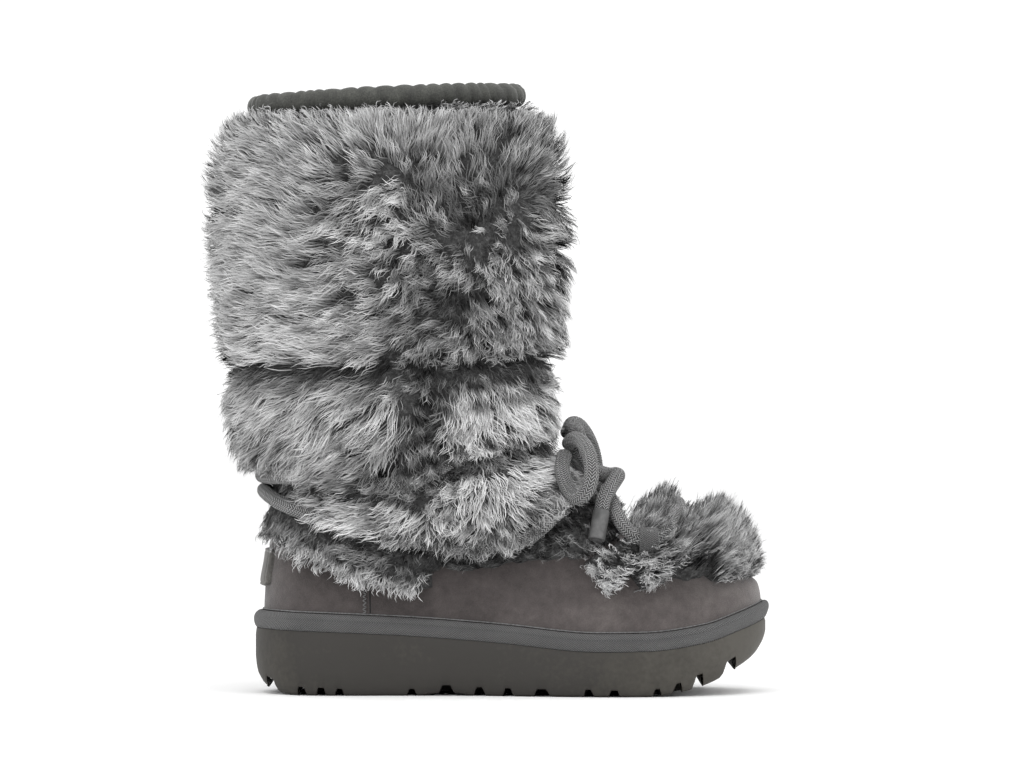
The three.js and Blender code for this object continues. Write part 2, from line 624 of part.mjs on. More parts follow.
add("outsole", outsole(), "sole");
add("welt", welt(), "braid");
add("insole", insole(), "lining");
add("upper", upper(), "suede");
add("heel_tab", heelTab(), "suede");
add("shaft", shaft(), "fur");
add("vamp_fur", vampFur(), "fur");
add("collar", collar(), "drawcord");
add("lace_wrap_lower", laceWrap("lower lace"), "lace");
add("lace_wrap_upper", laceWrap("upper lace"), "lace");
add("lace_knot", knot(), "lace");
for (const [name, route] of Object.entries(LACE_ROUTES)) add(name, laceAlong(route), "lace");
for (const side of ["outer", "inner"]) add(`aglet_${side}`, aglet(LACE_ROUTES[`lace_end_${side}`]), "tip");
add("lace_keeper_outer", keeper(1), "braid");
add("lace_keeper_inner", keeper(-1), "braid");

// The origin is on the floor under the middle of the boot.
const box = new THREE.Box3().setFromObject(boot);
boot.position.set(-(box.min.x + box.max.x) / 2, -(box.min.y + box.max.y) / 2, -box.min.z);

export default boot;
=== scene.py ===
"""Looks for a tall sheepskin winter boot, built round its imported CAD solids.

Sizes in the tables are millimetres, measured from the back of the sole (x), the boot's middle line (y, inner
side positive) and the floor (z), as in the CAD part. SHIFT moves them to the row frame.
"""

import math

import bpy
import numpy as np
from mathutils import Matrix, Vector


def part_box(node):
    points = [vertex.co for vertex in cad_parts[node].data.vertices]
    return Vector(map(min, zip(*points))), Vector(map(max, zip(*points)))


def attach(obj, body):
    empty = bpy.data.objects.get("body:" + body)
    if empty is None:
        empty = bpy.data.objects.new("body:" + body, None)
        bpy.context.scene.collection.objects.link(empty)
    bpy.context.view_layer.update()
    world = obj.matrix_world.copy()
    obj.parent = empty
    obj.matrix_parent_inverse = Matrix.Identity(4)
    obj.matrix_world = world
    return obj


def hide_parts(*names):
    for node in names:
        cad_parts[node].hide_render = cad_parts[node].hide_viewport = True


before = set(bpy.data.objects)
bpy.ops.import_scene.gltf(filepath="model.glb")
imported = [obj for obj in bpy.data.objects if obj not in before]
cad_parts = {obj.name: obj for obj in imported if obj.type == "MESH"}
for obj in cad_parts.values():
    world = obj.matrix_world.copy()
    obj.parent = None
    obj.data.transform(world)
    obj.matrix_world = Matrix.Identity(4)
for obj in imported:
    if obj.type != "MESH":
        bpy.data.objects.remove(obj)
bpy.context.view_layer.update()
SHIFT = np.array([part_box("outsole")[0].x * 1000, 0.0, 0.0])
TAU = 2 * math.pi

# --------------------------------------------------------------------------------------------------
# The last: the surface that every wall of the boot follows, with the same tables as the CAD part.

LAST_LENGTH = 264
HALF_BALL = 47
WALL = 4
LEG = 92 / 94
LAST = [  # back, front share, half share, foot, rise at the back, the middle and the front
    (5.0, 1.0, 1.0, 1, 0, 0, 0),
    (4.5, 1.009, 1.02, 1, 12, 12, 9.5),
    (5.0, 1.003, 0.99, 1, 24, 26, 19),
    (7.0, 0.978, 0.94, 1, 36, 39, 27),
    (8.5, 0.92, 0.88, 0.95, 49, 52, 42),
    (10.0, 0.84, 0.84, 0.85, 61, 64.5, 56),
    (10.5, 0.757, 0.82, 0.7, 74, 77.5, 68.4),
    (10.5, 0.674, 0.82, 0.5, 89, 92.5, 85),
    (9.5, 0.598, 0.84, 0.3, 104, 107.5, 106.5),
    (7.0, 0.557, 0.88, 0.15, 119, 123, 128),
    (3.5, 0.542, 0.93, 0.05, 140, 144.5, 151),
    (0.0, 0.54, 0.96, 0, 170, 172, 175),
    (-3.0, 0.542, LEG, 0, 220, 220, 221),
    (-4.2, 0.537, LEG, 0, 270, 270, 271),
    (-1.6, 0.529, LEG, 0, 309, 312.6, 316),
]
FOOT_PLAN = [  # share of the length, outer, inner, inward
    (0, 1.33, 1.33, 0),
    (0.05, 1.3, 1.3, 0),
    (0.15, 1.04, 1.02, 0),
    (0.3, 0.8, 0.76, 0),
    (0.42, 0.76, 0.68, 0),
    (0.55, 0.91, 0.82, 0),
    (0.68, 1.1, 1.05, 0),
    (0.78, 1.21, 1.19, 0.5),
    (0.88, 1.33, 1.33, 2),
    (0.95, 1.43, 1.43, 3.2),
    (1, 1.46, 1.46, 4),
]
FOOTBED = [  # along the sole, height
    (0, 34.4), (40, 33.2), (80, 31.4), (130, 27.7), (180, 23.5), (205, 23.8), (234, 27.5), (254, 33.9),
    (270, 39.7),
]


def curve(xs, ys):
    """A smooth function through the points, with no overshoot between them."""
    xs, ys = np.asarray(xs, float), np.asarray(ys, float)
    slope = np.diff(ys) / np.diff(xs)
    tangent = np.concatenate([slope[:1], np.zeros(len(xs) - 2), slope[-1:]])
    product, total = slope[:-1] * slope[1:], slope[:-1] + slope[1:]
    tangent[1:-1] = np.where(product > 0, 2 * product / np.where(total == 0, 1, total), 0)

    def at(x):
        x = np.clip(x, xs[0], xs[-1])
        i = np.clip(np.searchsorted(xs, x, side="right") - 1, 0, len(xs) - 2)
        h = xs[i + 1] - xs[i]
        t = (x - xs[i]) / h
        bend = h * t * (1 - t) * ((1 - t) * tangent[i] - t * tangent[i + 1])
        return ys[i] + (ys[i + 1] - ys[i]) * t * t * (3 - 2 * t) + bend

    return at


LEVELS = np.arange(len(LAST))
TOP = len(LAST) - 1
back_at, front_at, half_at, foot_at, rise_back, rise_mid, rise_front = (curve(LEVELS, c) for c in zip(*LAST))
plan_share, plan_outer, plan_inner, plan_inward = zip(*FOOT_PLAN)
outer_at, inner_at, inward_at = (curve(plan_share, c) for c in (plan_outer, plan_inner, plan_inward))
footbed = curve(*zip(*FOOTBED))


def last_point(level, angle):
    level, angle = np.broadcast_arrays(np.asarray(level, float), np.asarray(angle, float))
    back, front = back_at(level), front_at(level) * LAST_LENGTH
    foot, share = foot_at(level), (1 - np.cos(angle)) / 2
    plan = np.where(np.sin(angle) >= 0, outer_at(share), inner_at(share))
    half = half_at(level) * HALF_BALL * (1 + foot * (plan - 1))
    x = back + (front - back) * share
    rise = rise_back(level) * (1 - share) * (1 - 2 * share) + rise_mid(level) * 4 * share * (1 - share)
    rise = rise + rise_front(level) * share * (2 * share - 1)
    y = foot * inward_at(share) - half * np.sin(angle)
    return np.stack([x, y, rise + foot * footbed(x)], axis=-1)


def last_normal(level, angle):
    step = 0.01
    around = last_point(level, angle + step) - last_point(level, angle - step)
    up = last_point(np.minimum(level + step, TOP), angle) - last_point(np.maximum(level - step, 0), angle)
    normal = np.cross(around, up)
    return normal / np.linalg.norm(normal, axis=-1, keepdims=True)


def skin(level, angle, offset):
    return last_point(level, angle) + last_normal(level, angle) * np.asarray(offset, float)[..., None]


def circle(count):
    return np.arange(count) * TAU / count


# A fine lattice of the last, read back between its points.
V_STEP, A_COUNT = 0.05, 360
V_GRID, A_GRID = np.arange(0, TOP + V_STEP / 2, V_STEP), circle(A_COUNT)
DEGREES = np.degrees(np.arccos(np.cos(A_GRID)))  # from the back, the same on both sides
HIDE, NORMAL = last_point(V_GRID[:, None], A_GRID), last_normal(V_GRID[:, None], A_GRID)


def read_grid(grid, level, angle):
    """Values of a lattice over level and angle, at any points of it."""
    v = np.clip(level / V_STEP, 0, len(V_GRID) - 1.001)
    a = (angle % TAU) * A_COUNT / TAU
    i, j = v.astype(int), a.astype(int) % A_COUNT
    k = (j + 1) % A_COUNT
    s, t = v - i, a - np.floor(a)
    if grid.ndim == 3:
        s, t = s[..., None], t[..., None]
    low = grid[i, j] * (1 - t) + grid[i, k] * t
    high = grid[i + 1, j] * (1 - t) + grid[i + 1, k] * t
    return low * (1 - s) + high * s


def column_of(angle):
    return np.round((angle % TAU) * A_COUNT / TAU).astype(int) % A_COUNT


def levels_at(heights):
    """The levels at which the last reaches the heights given for each angle of the lattice."""
    return np.array([np.interp(h, HIDE[:, c, 2], V_GRID) for c, h in enumerate(heights)])


# --------------------------------------------------------------------------------------------------
# The fleece: folds of the shaft and rolls of the vamp, with the same tables as the CAD part.

FOLD_ANGLES = [0, 85, 120, 180]
FOLDS = {  # heights at the four angles, fur depths at the four angles
    "hem": ([81, 50, 76, 89], [5, 6, 7, 8]),
    "hem roll": ([87.5, 56, 80, 93], [6, 14, 12, 11]),
    "ankle roll": ([97, 65, 84.5, 97.5], [5, 16, 11, 9]),
    "lower lace": ([106.4, 76, 90, 104], [1, 8.5, 6, 4]),
    "instep roll": ([109, 85, 100, 112], [2, 16.5, 12, 8]),
    "middle roll": ([111.6, 102, 113, 121], [2, 20, 15, 9]),
    "upper lace": ([115.2, 115, 127, 133], [1, 9, 7, 4]),
    "calf hem": ([124, 125.5, 138, 144], [7.5, 17, 14.5, 13]),
    "calf roll": ([136, 141, 150, 156], [17, 22, 19, 15.5]),
    "calf top": ([158, 160, 166, 168], [19.5, 22, 20, 17]),
    "seam": ([175, 174, 176, 178], [17.5, 17, 17, 16]),
    "cuff foot": ([191, 190, 191, 192], [18, 22, 21, 19]),
    "cuff": ([235, 235, 235, 235], [20.5, 25, 25, 22.5]),
    "cuff crest": ([262, 262, 262, 262], [22, 24, 24, 25.5]),
    "cuff shoulder": ([284, 284, 285, 286], [18.5, 20, 21, 20]),
    "cuff top": ([294, 296.5, 298, 299], [11, 13, 13, 12]),
    "rim": ([301, 304.6, 306, 307.5], [4, 4.5, 4.5, 5]),
}
VAMP_ROLLS = [  # share of the way up, fur at the flank, fur in front
    (0, 4, 5),
    (0.17, 11, 21),
    (0.43, 14, 33),
    (0.62, 7, 15),
    (0.8, 12, 28),
    (1, 6, 14),
]
VAMP_EDGE = (54, 60)
VAMP_FLANK = 112


def round_leg(values):
    """A fold's value at each angle of the lattice."""
    b, s, f, r = values
    back, side, flank, front = FOLD_ANGLES
    at = curve([-side, back, side, flank, front, 2 * front - flank], [s, b, s, f, r, f])
    return at(DEGREES)


def fleece_depths():
    """Depth of the shaft's fleece over the lattice, and the levels of its folds at each angle."""
    heights = np.array([round_leg(z) for z, _ in FOLDS.values()])
    depths = np.array([round_leg(fur) for _, fur in FOLDS.values()])
    levels = np.array([levels_at(row) for row in heights])
    depth = np.stack([curve(levels[:, c], depths[:, c])(V_GRID) for c in range(A_COUNT)], axis=1)
    return depth, dict(zip(FOLDS, levels)), dict(zip(FOLDS, depths))


FLEECE, FOLD_LEVEL, FOLD_DEPTH = fleece_depths()


def vamp_depths():
    """Depth of the vamp's fleece over the lattice, and the levels of its two edges at each angle."""
    share = np.sin(np.clip((DEGREES - VAMP_FLANK) / (180 - VAMP_FLANK), 0, 1) * math.pi / 2)[:, None]
    low = VAMP_EDGE[0] + (VAMP_EDGE[1] - VAMP_EDGE[0]) * share
    high = round_leg(FOLDS["hem"][0])[:, None] - 2
    at, flank, front = (np.array(c, float) for c in zip(*VAMP_ROLLS))
    levels = levels_at(low + (high - low) * at)
    depths = np.minimum(1, 0.3 + 5 * share) * (flank + (front - flank) * share)
    depth = np.stack([curve(v, d)(V_GRID) for v, d in zip(levels, depths)], axis=1)
    return depth, levels[:, [0, -1]].T


VAMP_FLEECE, VAMP_EDGES = vamp_depths()

# --------------------------------------------------------------------------------------------------
# Helpers for meshes and materials.


def row_frame(points):
    """Millimetres from the back of the sole to metres in the row frame."""
    return (np.asarray(points, float) + SHIFT) / 1000


def add_object(name, data):
    made = bpy.data.objects.new(name, data)
    bpy.context.scene.collection.objects.link(made)
    return made


def make_piece(name, points, faces, material, node, slot, uv=None, shades=None, outward=None):
    """A mesh object from points in millimetres and faces all of one size, or a list of such arrays."""
    mesh = bpy.data.meshes.new(name)
    groups = faces if isinstance(faces, list) else [faces]
    groups = [np.asarray(f, np.int32) for f in groups]
    loops = np.concatenate([f.ravel() for f in groups])
    sizes = np.concatenate([np.full(len(f), f.shape[1], np.int32) for f in groups])
    starts = np.concatenate([[0], np.cumsum(sizes)[:-1]]).astype(np.int32)
    mesh.vertices.add(len(points))
    mesh.vertices.foreach_set("co", row_frame(points).astype(np.float32).ravel())
    mesh.loops.add(len(loops))
    mesh.loops.foreach_set("vertex_index", loops)
    mesh.polygons.add(len(sizes))
    mesh.polygons.foreach_set("loop_start", starts)
    mesh.polygons.foreach_set("loop_total", sizes)
    mesh.update(calc_edges=True)
    mesh.polygons.foreach_set("use_smooth", np.ones(len(sizes), bool))
    if uv is not None:
        layer = mesh.uv_layers.new(name="uv")
        layer.data.foreach_set("uv", np.asarray(uv, np.float32)[loops].ravel())
    if shades is not None:
        attribute = mesh.attributes.new("shade", "FLOAT", "POINT")
        attribute.data.foreach_set("value", np.asarray(shades, np.float32))
    if outward is not None:
        attribute = mesh.attributes.new("outward", "FLOAT_VECTOR", "POINT")
        attribute.data.foreach_set("vector", np.asarray(outward, np.float32).ravel())
    mesh.materials.append(material)
    piece = add_object(name, mesh)
    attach(piece, "root")
    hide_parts(node)
    return piece


def lattice_faces(rows, cols, wrap_rows=False, wrap_cols=False):
    """Quads between the points of a lattice, counted row by row."""
    r = np.arange(rows if wrap_rows else rows - 1)
    c = np.arange(cols if wrap_cols else cols - 1)
    r, c = np.meshgrid(r, c, indexing="ij")
    r2, c2 = (r + 1) % rows, (c + 1) % cols
    return np.stack([r * cols + c, r * cols + c2, r2 * cols + c2, r2 * cols + c], axis=-1).reshape(-1, 4)


def make_sheet(name, grid, material, node, slot, wrap_rows=False, wrap_cols=True, over=True, uv=None):
    """A piece from a lattice of points, whose faces are turned over where that makes them face outward."""
    faces = lattice_faces(*grid.shape[:2], wrap_rows, wrap_cols)
    if over:
        faces = faces[:, ::-1]
    return make_piece(name, grid.reshape(-1, 3), faces, material, node, slot, uv)


def unit(vectors):
    return vectors / (np.linalg.norm(vectors, axis=-1, keepdims=True) + 1e-9)


def ease(low, high, x):
    t = np.clip((x - low) / (high - low), 0, 1)
    return t * t * (3 - 2 * t)


def drift(seed, places, size):
    """A smooth random value from about -2 to 2 at each place, varying over about that many millimetres."""
    local = np.random.default_rng(seed)
    x, y, z = np.moveaxis(places, -1, 0)
    total = np.zeros_like(x)
    for _ in range(6):
        k = local.normal(0, 1, 3) / size * 2.2
        total += np.sin(k[0] * x + k[1] * y + k[2] * z + local.uniform(0, TAU))
    return total / 3


class Nodes:
    """Short calls for building one node material."""

    def __init__(self, name, roughness=0.9, **shader):
        self.material = bpy.data.materials.new(name)
        self.material.use_nodes = True
        self.tree = self.material.node_tree
        self.bsdf = self.tree.nodes["Principled BSDF"]
        self.bsdf.inputs["Roughness"].default_value = roughness
        for key, value in shader.items():
            self.bsdf.inputs[key.replace("_", " ")].default_value = value

    def add(self, kind, settings=(), **inputs):
        node = self.tree.nodes.new(kind)
        for key, value in dict(settings).items():
            setattr(node, key, value)
        for key, value in inputs.items():
            self.feed(node.inputs[key.replace("_", " ")], value)
        return node

    def feed(self, socket, value):
        if isinstance(value, bpy.types.NodeSocket):
            self.tree.links.new(value, socket)
        else:
            socket.default_value = value

    def math(self, operation, a, b=0.0):
        node = self.add("ShaderNodeMath", {"operation": operation})
        self.feed(node.inputs[0], a)
        self.feed(node.inputs[1], b)
        return node.outputs[0]

    def weigh(self, first, *others):
        """The sum of values, each given with its share."""
        total = self.math("MULTIPLY", *first)
        for other in others:
            total = self.math("ADD", total, self.math("MULTIPLY", *other))
        return total

    def noise(self, scale, detail=3.0, roughness=0.5):
        settings = dict(Scale=scale, Detail=detail, Roughness=roughness, Vector=self.place())
        return self.add("ShaderNodeTexNoise", **settings).outputs["Fac"]

    def place(self):
        """Position in metres."""
        return self.add("ShaderNodeTexCoord").outputs["Object"]

    def ramp(self, factor, *stops):
        node = self.add("ShaderNodeValToRGB")
        self.feed(node.inputs["Fac"], factor)
        elements = node.color_ramp.elements
        while len(elements) < len(stops):
            elements.new(0.5)
        for element, (at, colour) in zip(elements, stops):
            element.position = at
            element.color = (*colour, 1)
        return node.outputs["Color"]

    def uv(self):
        """The two values of a piece's uv, both in millimetres."""
        split = self.add("ShaderNodeSeparateXYZ", Vector=self.add("ShaderNodeTexCoord").outputs["UV"])
        return split.outputs["X"], split.outputs["Y"]

    def bowed(self, middle, tilt, bow):
        """A value that is least at one place along the boot and rises towards its heel and toe."""
        along = self.add("ShaderNodeSeparateXYZ", Vector=self.place()).outputs["X"]
        slope = self.math("ADD", self.math("MULTIPLY", along, bow), tilt)
        return self.math("ADD", self.math("MULTIPLY", along, slope), middle)

    def colour(self, value):
        self.feed(self.bsdf.inputs["Base Color"], value)

    def shades(self, factor, *stops):
        """Colours the surface by a ramp over the factor."""
        self.colour(self.ramp(factor, *stops))

    def bump(self, height, distance, strength=1.0, under=None):
        node = self.add("ShaderNodeBump", Strength=strength, Distance=distance, Height=height)
        if under is not None:
            self.feed(node.inputs["Normal"], under)
        self.feed(self.bsdf.inputs["Normal"], node.outputs["Normal"])
        return node.outputs["Normal"]


def tint(*rgb):
    """A linear colour from 8-bit red, green and blue."""
    return tuple(((value / 255 + 0.055) / 1.055) ** 2.4 for value in rgb)


def grey(value):
    return tint(value, value, value)


def speckled(name, roughness, spots, low, high, grain, strength):
    """A grey material with soft spots and a fine grain; low and high are (place on the ramp, grey)."""
    n = Nodes(name, roughness)
    n.shades(n.noise(*spots), *((at, grey(value)) for at, value in (low, high)))
    n.bump(n.noise(grain, 2), 0.0002, strength)
    return n.material


# --------------------------------------------------------------------------------------------------
# Camera, floor and light.


def stage():
    camera = add_object("camera", bpy.data.cameras.new("camera"))
    camera.data.lens = 180
    camera.data.sensor_width = 36
    camera.location = (0.0129, -2.7, 0.1622)
    camera.rotation_euler = (math.radians(90), 0, 0)
    camera.data.clip_end = 50
    bpy.context.scene.camera = camera

    floor_mesh = bpy.data.meshes.new("floor")
    floor_mesh.from_pydata([(-9, -9, 0), (9, -9, 0), (9, 9, 0), (-9, 9, 0)], [], [(0, 1, 2, 3)])
    paint = Nodes("floor_paint", roughness=0.9)
    paint.colour((0.9, 0.9, 0.9, 1))
    floor_mesh.materials.append(paint.material)
    add_object("floor", floor_mesh)

    world = bpy.data.worlds.new("studio")
    world.use_nodes = True
    background = world.node_tree.nodes["Background"].inputs
    background["Color"].default_value = (1, 1, 1, 1)
    background["Strength"].default_value = 1.12
    bpy.context.scene.world = world
    bpy.context.scene.view_settings.view_transform = "Standard"

    add_light("overhead", (0.1, -0.5, 1.7), (0, 0, 0.1), 1.4, 13)
    add_light("front_fill", (-0.9, -1.5, 0.8), (0, 0, 0.15), 1.0, 5)
    add_light("right_fill", (1.3, -0.9, 0.9), (0, 0, 0.15), 0.9, 3.5)


def add_light(name, place, target, size, power):
    lamp = bpy.data.lights.new(name, "AREA")
    lamp.size, lamp.energy = size, power
    light = add_object(name, lamp)
    light.location = place
    light.rotation_euler = (Vector(target) - Vector(place)).to_track_quat("-Z", "Y").to_euler()


stage()

# --------------------------------------------------------------------------------------------------
# The lace. Routes repeat those of the CAD part.

LACE_RADIUS = 4
ROUTES = {
    "lace_vamp": [
        (184, -20.5, 107), (187, -31, 100.5), (190.5, -40, 92.5), (195.5, -45, 86), (201, -47, 82.5),
        (206, -47, 81.5), (210.5, -45.5, 83), (215.5, -39, 88), (219.5, -28, 94), (222, -14, 97.8),
        (222.5, 0, 99), (222, 14, 97.8), (219.5, 28, 94), (215.5, 39, 88), (210.5, 45.5, 83),
        (206, 47, 81.5), (201, 47, 82.5), (195.5, 45, 86), (190.5, 40, 92.5), (187, 31, 100.5),
        (184, 20.5, 107),
    ],
    "lace_loop_outer": [
        (165, -14, 131), (167, -23, 133.3), (170.5, -35, 132.8), (174, -46, 128), (176, -54.5, 120.5),
        (175.8, -58, 112.5), (173, -56.5, 106), (168.5, -51, 103.4), (164.5, -45, 106.6), (162, -39.5, 113),
        (161.3, -32.5, 119.5), (162.5, -23.5, 125),
    ],
    "lace_loop_inner": [
        (164.5, 7.5, 136.5), (167, 20, 141), (171, 34, 140), (175.5, 47, 134), (179, 57, 125),
        (180.5, 61.5, 114.5), (179.5, 58.5, 105.5), (177.3, 50.5, 102), (175.3, 42.5, 105),
        (173, 35.5, 111.5), (169.5, 27, 118.5), (165.5, 14.5, 125),
    ],
    "lace_end_outer": [
        (171, -7.5, 126), (174.6, -9.5, 121), (179.6, -11, 115.8), (184.8, -12.5, 113.9), (188.2, -17, 113.8),
        (190.3, -24.5, 114.6), (189.4, -32, 113), (186, -38, 108), (182.6, -42, 102), (181.6, -44, 96.5),
    ],
    "lace_end_inner": [
        (171, 3, 126), (174.6, 4.5, 121.4), (179.8, 6, 116.4), (184.8, 9.5, 114.5), (188.2, 15.5, 114),
        (190.3, 24, 114), (189, 32, 111.5), (186.8, 39.5, 106), (184.8, 44, 99.5),
    ],
}
KNOT_AT = (165, -3, 132)
AGLET_LENGTH = 16
TIP_PROFILE = [  # share of the way to its end, radius
    (0, 3.9), (0.01, 4.2), (0.04, 4.4), (0.5, 4.35), (0.95, 4.4), (0.985, 4.25), (1, 3.9), (1, 3.2),
    (0.93, 3.1), (0.93, 0.01),
]


def between(start, a, end, b, t):
    """From a at start to b at end, in a straight line."""
    return (end - t) / (end - start) * a + (t - start) / (end - start) * b


def run_along(path, power=1):
    """How far along the path each point is, with each span raised to a power."""
    return np.concatenate([[0], np.cumsum(np.linalg.norm(np.diff(path, axis=0), axis=1) ** power)])


def centripetal(points, per_span=8):
    """A smooth curve through the points."""
    points = np.asarray(points, float)
    run = np.concatenate([2 * points[:1] - points[1:2], points, 2 * points[-1:] - points[-2:-1]])
    out = []
    for i in range(1, len(run) - 2):
        p0, p1, p2, p3 = run[i - 1 : i + 3]
        k0, k1, k2, k3 = run_along(run[i - 1 : i + 3], 0.5)
        t = np.linspace(k1, k2, per_span, endpoint=False)[:, None]
        a1, a2, a3 = between(k0, p0, k1, p1, t), between(k1, p1, k2, p2, t), between(k2, p2, k3, p3, t)
        b1, b2 = between(k0, a1, k2, a2, t), between(k1, a2, k3, a3, t)
        out.append(between(k1, b1, k2, b2, t))
    return np.concatenate([*out, run[-2:-1]])


def even_steps(path, step, closed=False):
    """The path's points again, a step apart."""
    if closed:
        path = np.concatenate([path, path[:1]])
    lengths = run_along(path)
    count = max(4, int(round(lengths[-1] / step)))
    at = np.linspace(0, lengths[-1], count + (0 if closed else 1), endpoint=not closed)
    return np.stack([np.interp(at, lengths, path[:, k]) for k in range(3)], axis=1), lengths[-1]


def frames_along(path, closed=False):
    """Two side directions at each point of a path, carried along without twist."""
    if closed:
        tangent = np.roll(path, -1, axis=0) - np.roll(path, 1, axis=0)
    else:
        tangent = np.gradient(path, axis=0)
    tangent /= np.linalg.norm(tangent, axis=1, keepdims=True)
    first = np.cross(tangent[0], (0.13, 0.21, 0.97))
    sides = [first / np.linalg.norm(first)]
    for t in tangent[1:]:
        side = sides[-1] - t * np.dot(t, sides[-1])
        sides.append(side / np.linalg.norm(side))
    side = np.array(sides)
    other = np.cross(tangent, side)
    if closed:
        gap = sides[0] - tangent[0] * np.dot(tangent[0], sides[0])
        twist = math.atan2(np.dot(side[-1], other[0]), np.dot(side[-1], gap))
        turn = -np.linspace(0, 1, len(path), endpoint=False) * twist
        side, other = (
            side * np.cos(turn)[:, None] + other * np.sin(turn)[:, None],
            other * np.cos(turn)[:, None] - side * np.sin(turn)[:, None],
        )
    return side, other


def spokes(side, other, count):
    """Directions all round each point of a path, from its two side directions."""
    turn = circle(count)[:, None]
    return side[:, None] * np.cos(turn) + other[:, None] * np.sin(turn)


def braided_tube(path, radius, closed=False, step=0.9, sides=22):
    """A round cord's points, faces, uv in millimetres along and around it, and its middle line."""
    path, length = even_steps(path, step, closed)
    side, other = frames_along(path, closed)
    rows = len(path)
    along = np.arange(rows)[:, None] * length / rows
    around = circle(sides)[None]
    strands = np.sin(along * 4.1 + 6 * around), np.sin(along * 4.1 - 6 * around)
    swell = radius * (0.97 + 0.02 * strands[0] + 0.02 * strands[1])
    points = (path[:, None] + spokes(side, other, sides) * swell[..., None]).reshape(-1, 3)
    faces = lattice_faces(rows, sides, wrap_rows=closed, wrap_cols=True)
    fold = np.abs(around / TAU * 2 - 1) * TAU * radius / 2
    uv = np.stack(np.broadcast_arrays(along, fold), -1).reshape(-1, 2)
    if closed:
        return points, [faces[:, ::-1]], uv, path
    ends = [points[:sides].mean(0), points[-sides:].mean(0)]
    points = np.concatenate([points, ends])
    uv = np.concatenate([uv, [[0, 0], [0, 0]]])
    n, last = len(points), (rows - 1) * sides
    s = np.arange(sides)
    caps = [
        np.stack([np.full(sides, n - 2), s, (s + 1) % sides], 1),
        np.stack([np.full(sides, n - 1), last + (s + 1) % sides, last + s], 1),
    ]
    return points, [faces[:, ::-1], np.concatenate(caps)], uv, path


def herringbone(n, wale, pitch, slant):
    """Yarns in wales that lean left and right in turn, from 0 between yarns to 1 on them."""
    u, v = n.uv()
    zigzag = n.math("PINGPONG", v, wale)
    place = n.math("ADD", n.math("MULTIPLY", u, TAU / pitch), n.math("MULTIPLY", zigzag, TAU * slant / pitch))
    yarn = n.math("ADD", n.math("MULTIPLY", n.math("SINE", place), 0.5), 0.5)
    edge = n.math("ABSOLUTE", n.math("SINE", n.math("MULTIPLY", v, math.pi / wale)))
    return n.math("MULTIPLY", yarn, n.math("POWER", edge, 0.15))


def woven_material(name, wale, pitch, slant, greys):
    n = Nodes(name, roughness=0.85, Sheen_Weight=0.2)
    weave = herringbone(n, wale, pitch, slant)
    fuzz, wide = n.noise(1600, 3), n.noise(55, 3)
    spread = n.weigh((fuzz, 0.3), (wide, 0.4))
    shade = n.math("ADD", n.math("MULTIPLY", weave, 0.75), n.math("SUBTRACT", spread, 0.35))
    n.shades(shade, *zip((0.05, 0.38, 0.75), map(grey, greys)))
    n.bump(weave, 0.0007, 1.0, n.bump(fuzz, 0.0003, 0.5))
    return n.material


LACE = woven_material("lace_braid", 1.9, 1.45, 1.0, (30, 90, 172))


def wrap_path(fold):
    """A turn of lace round the ankle, through the bottom of a fold."""
    return skin(FOLD_LEVEL[fold][::8], A_GRID[::8], FOLD_DEPTH[fold][::8] + 5)


def lace(name, path, closed=False):
    step, sides = (1.5, 16) if closed else (0.9, 22)
    points, faces, uv, centre = braided_tube(path, LACE_RADIUS, closed, step, sides)
    return make_piece(name.replace("lace", "braid"), points, faces, LACE, name, "lace", uv), centre


def build_lace():
    for name, fold in (("lace_wrap_lower", "lower lace"), ("lace_wrap_upper", "upper lace")):
        lace(name, wrap_path(fold), closed=True)
    lace("lace_vamp", centripetal(ROUTES["lace_vamp"]))
    return {name: lace(name, centripetal(ROUTES[name])) for name in list(ROUTES)[1:]}


LACES = build_lace()


def length_of(path):
    return float(np.linalg.norm(np.diff(path, axis=0), axis=1).sum()) / 1000


def turned(path, profile, sides=24):
    """The lattice of a turned form along a straight path: profile is (share along, radius)."""
    start, end = np.asarray(path[0], float), np.asarray(path[-1], float)
    line = np.stack([start + (end - start) * s for s, _ in profile])
    side, other = frames_along(np.stack([start, end]))
    radii = np.array([r for _, r in profile])
    return line[:, None] + spokes(side[:1], other[:1], sides) * radii[:, None, None]


def build_tips():
    look = speckled("tip_plastic", 0.45, (300, 3), (0.35, 72), (0.65, 92), 900, 0.3)
    tips = {}
    for side in ("outer", "inner"):
        route = np.asarray(ROUTES[f"lace_end_{side}"], float)
        direction = route[-1] - route[-2]
        direction /= np.linalg.norm(direction)
        start = route[-1] + direction * 0.1
        end = route[-1] + direction * (0.3 + AGLET_LENGTH)
        grid = turned([start, end], TIP_PROFILE)
        tips[side] = make_sheet(f"tip_{side}", grid, look, f"aglet_{side}", "tip")
    return tips


def knot_path():
    """The lace's way through the knot, round the knot's middle."""
    x, y, z = KNOT_AT
    return [
        (x + 3, y - 10, z + 4), (x + 4.5, y - 5, z + 5.5), (x + 4.5, y + 1, z + 4), (x + 4, y + 5, z - 1),
        (x + 4, y + 1, z - 5), (x + 5, y - 4, z - 5), (x + 6, y - 6, z - 1), (x + 5, y - 3, z + 4),
        (x + 2, y + 5, z + 6), (x + 1, y + 10, z + 6),
    ]


def build_knot():
    points, faces, uv, _ = braided_tube(centripetal(knot_path()), LACE_RADIUS * 0.95)
    return make_piece("braid_knot", points, faces, LACE, node="lace_knot", slot="lace", uv=uv)


TIPS = build_tips()
KNOT = build_knot()


def declare_cords():
    for name, (piece, path) in LACES.items():
        side = name.split("_")[-1]
        metres = row_frame(path)
        going = [TIPS[side]] if "end" in name else []
        if name == "lace_end_outer":
            going.append(KNOT)
        length_of(path)


declare_cords()

# --------------------------------------------------------------------------------------------------
# The sole: side wall, lugs and underside.

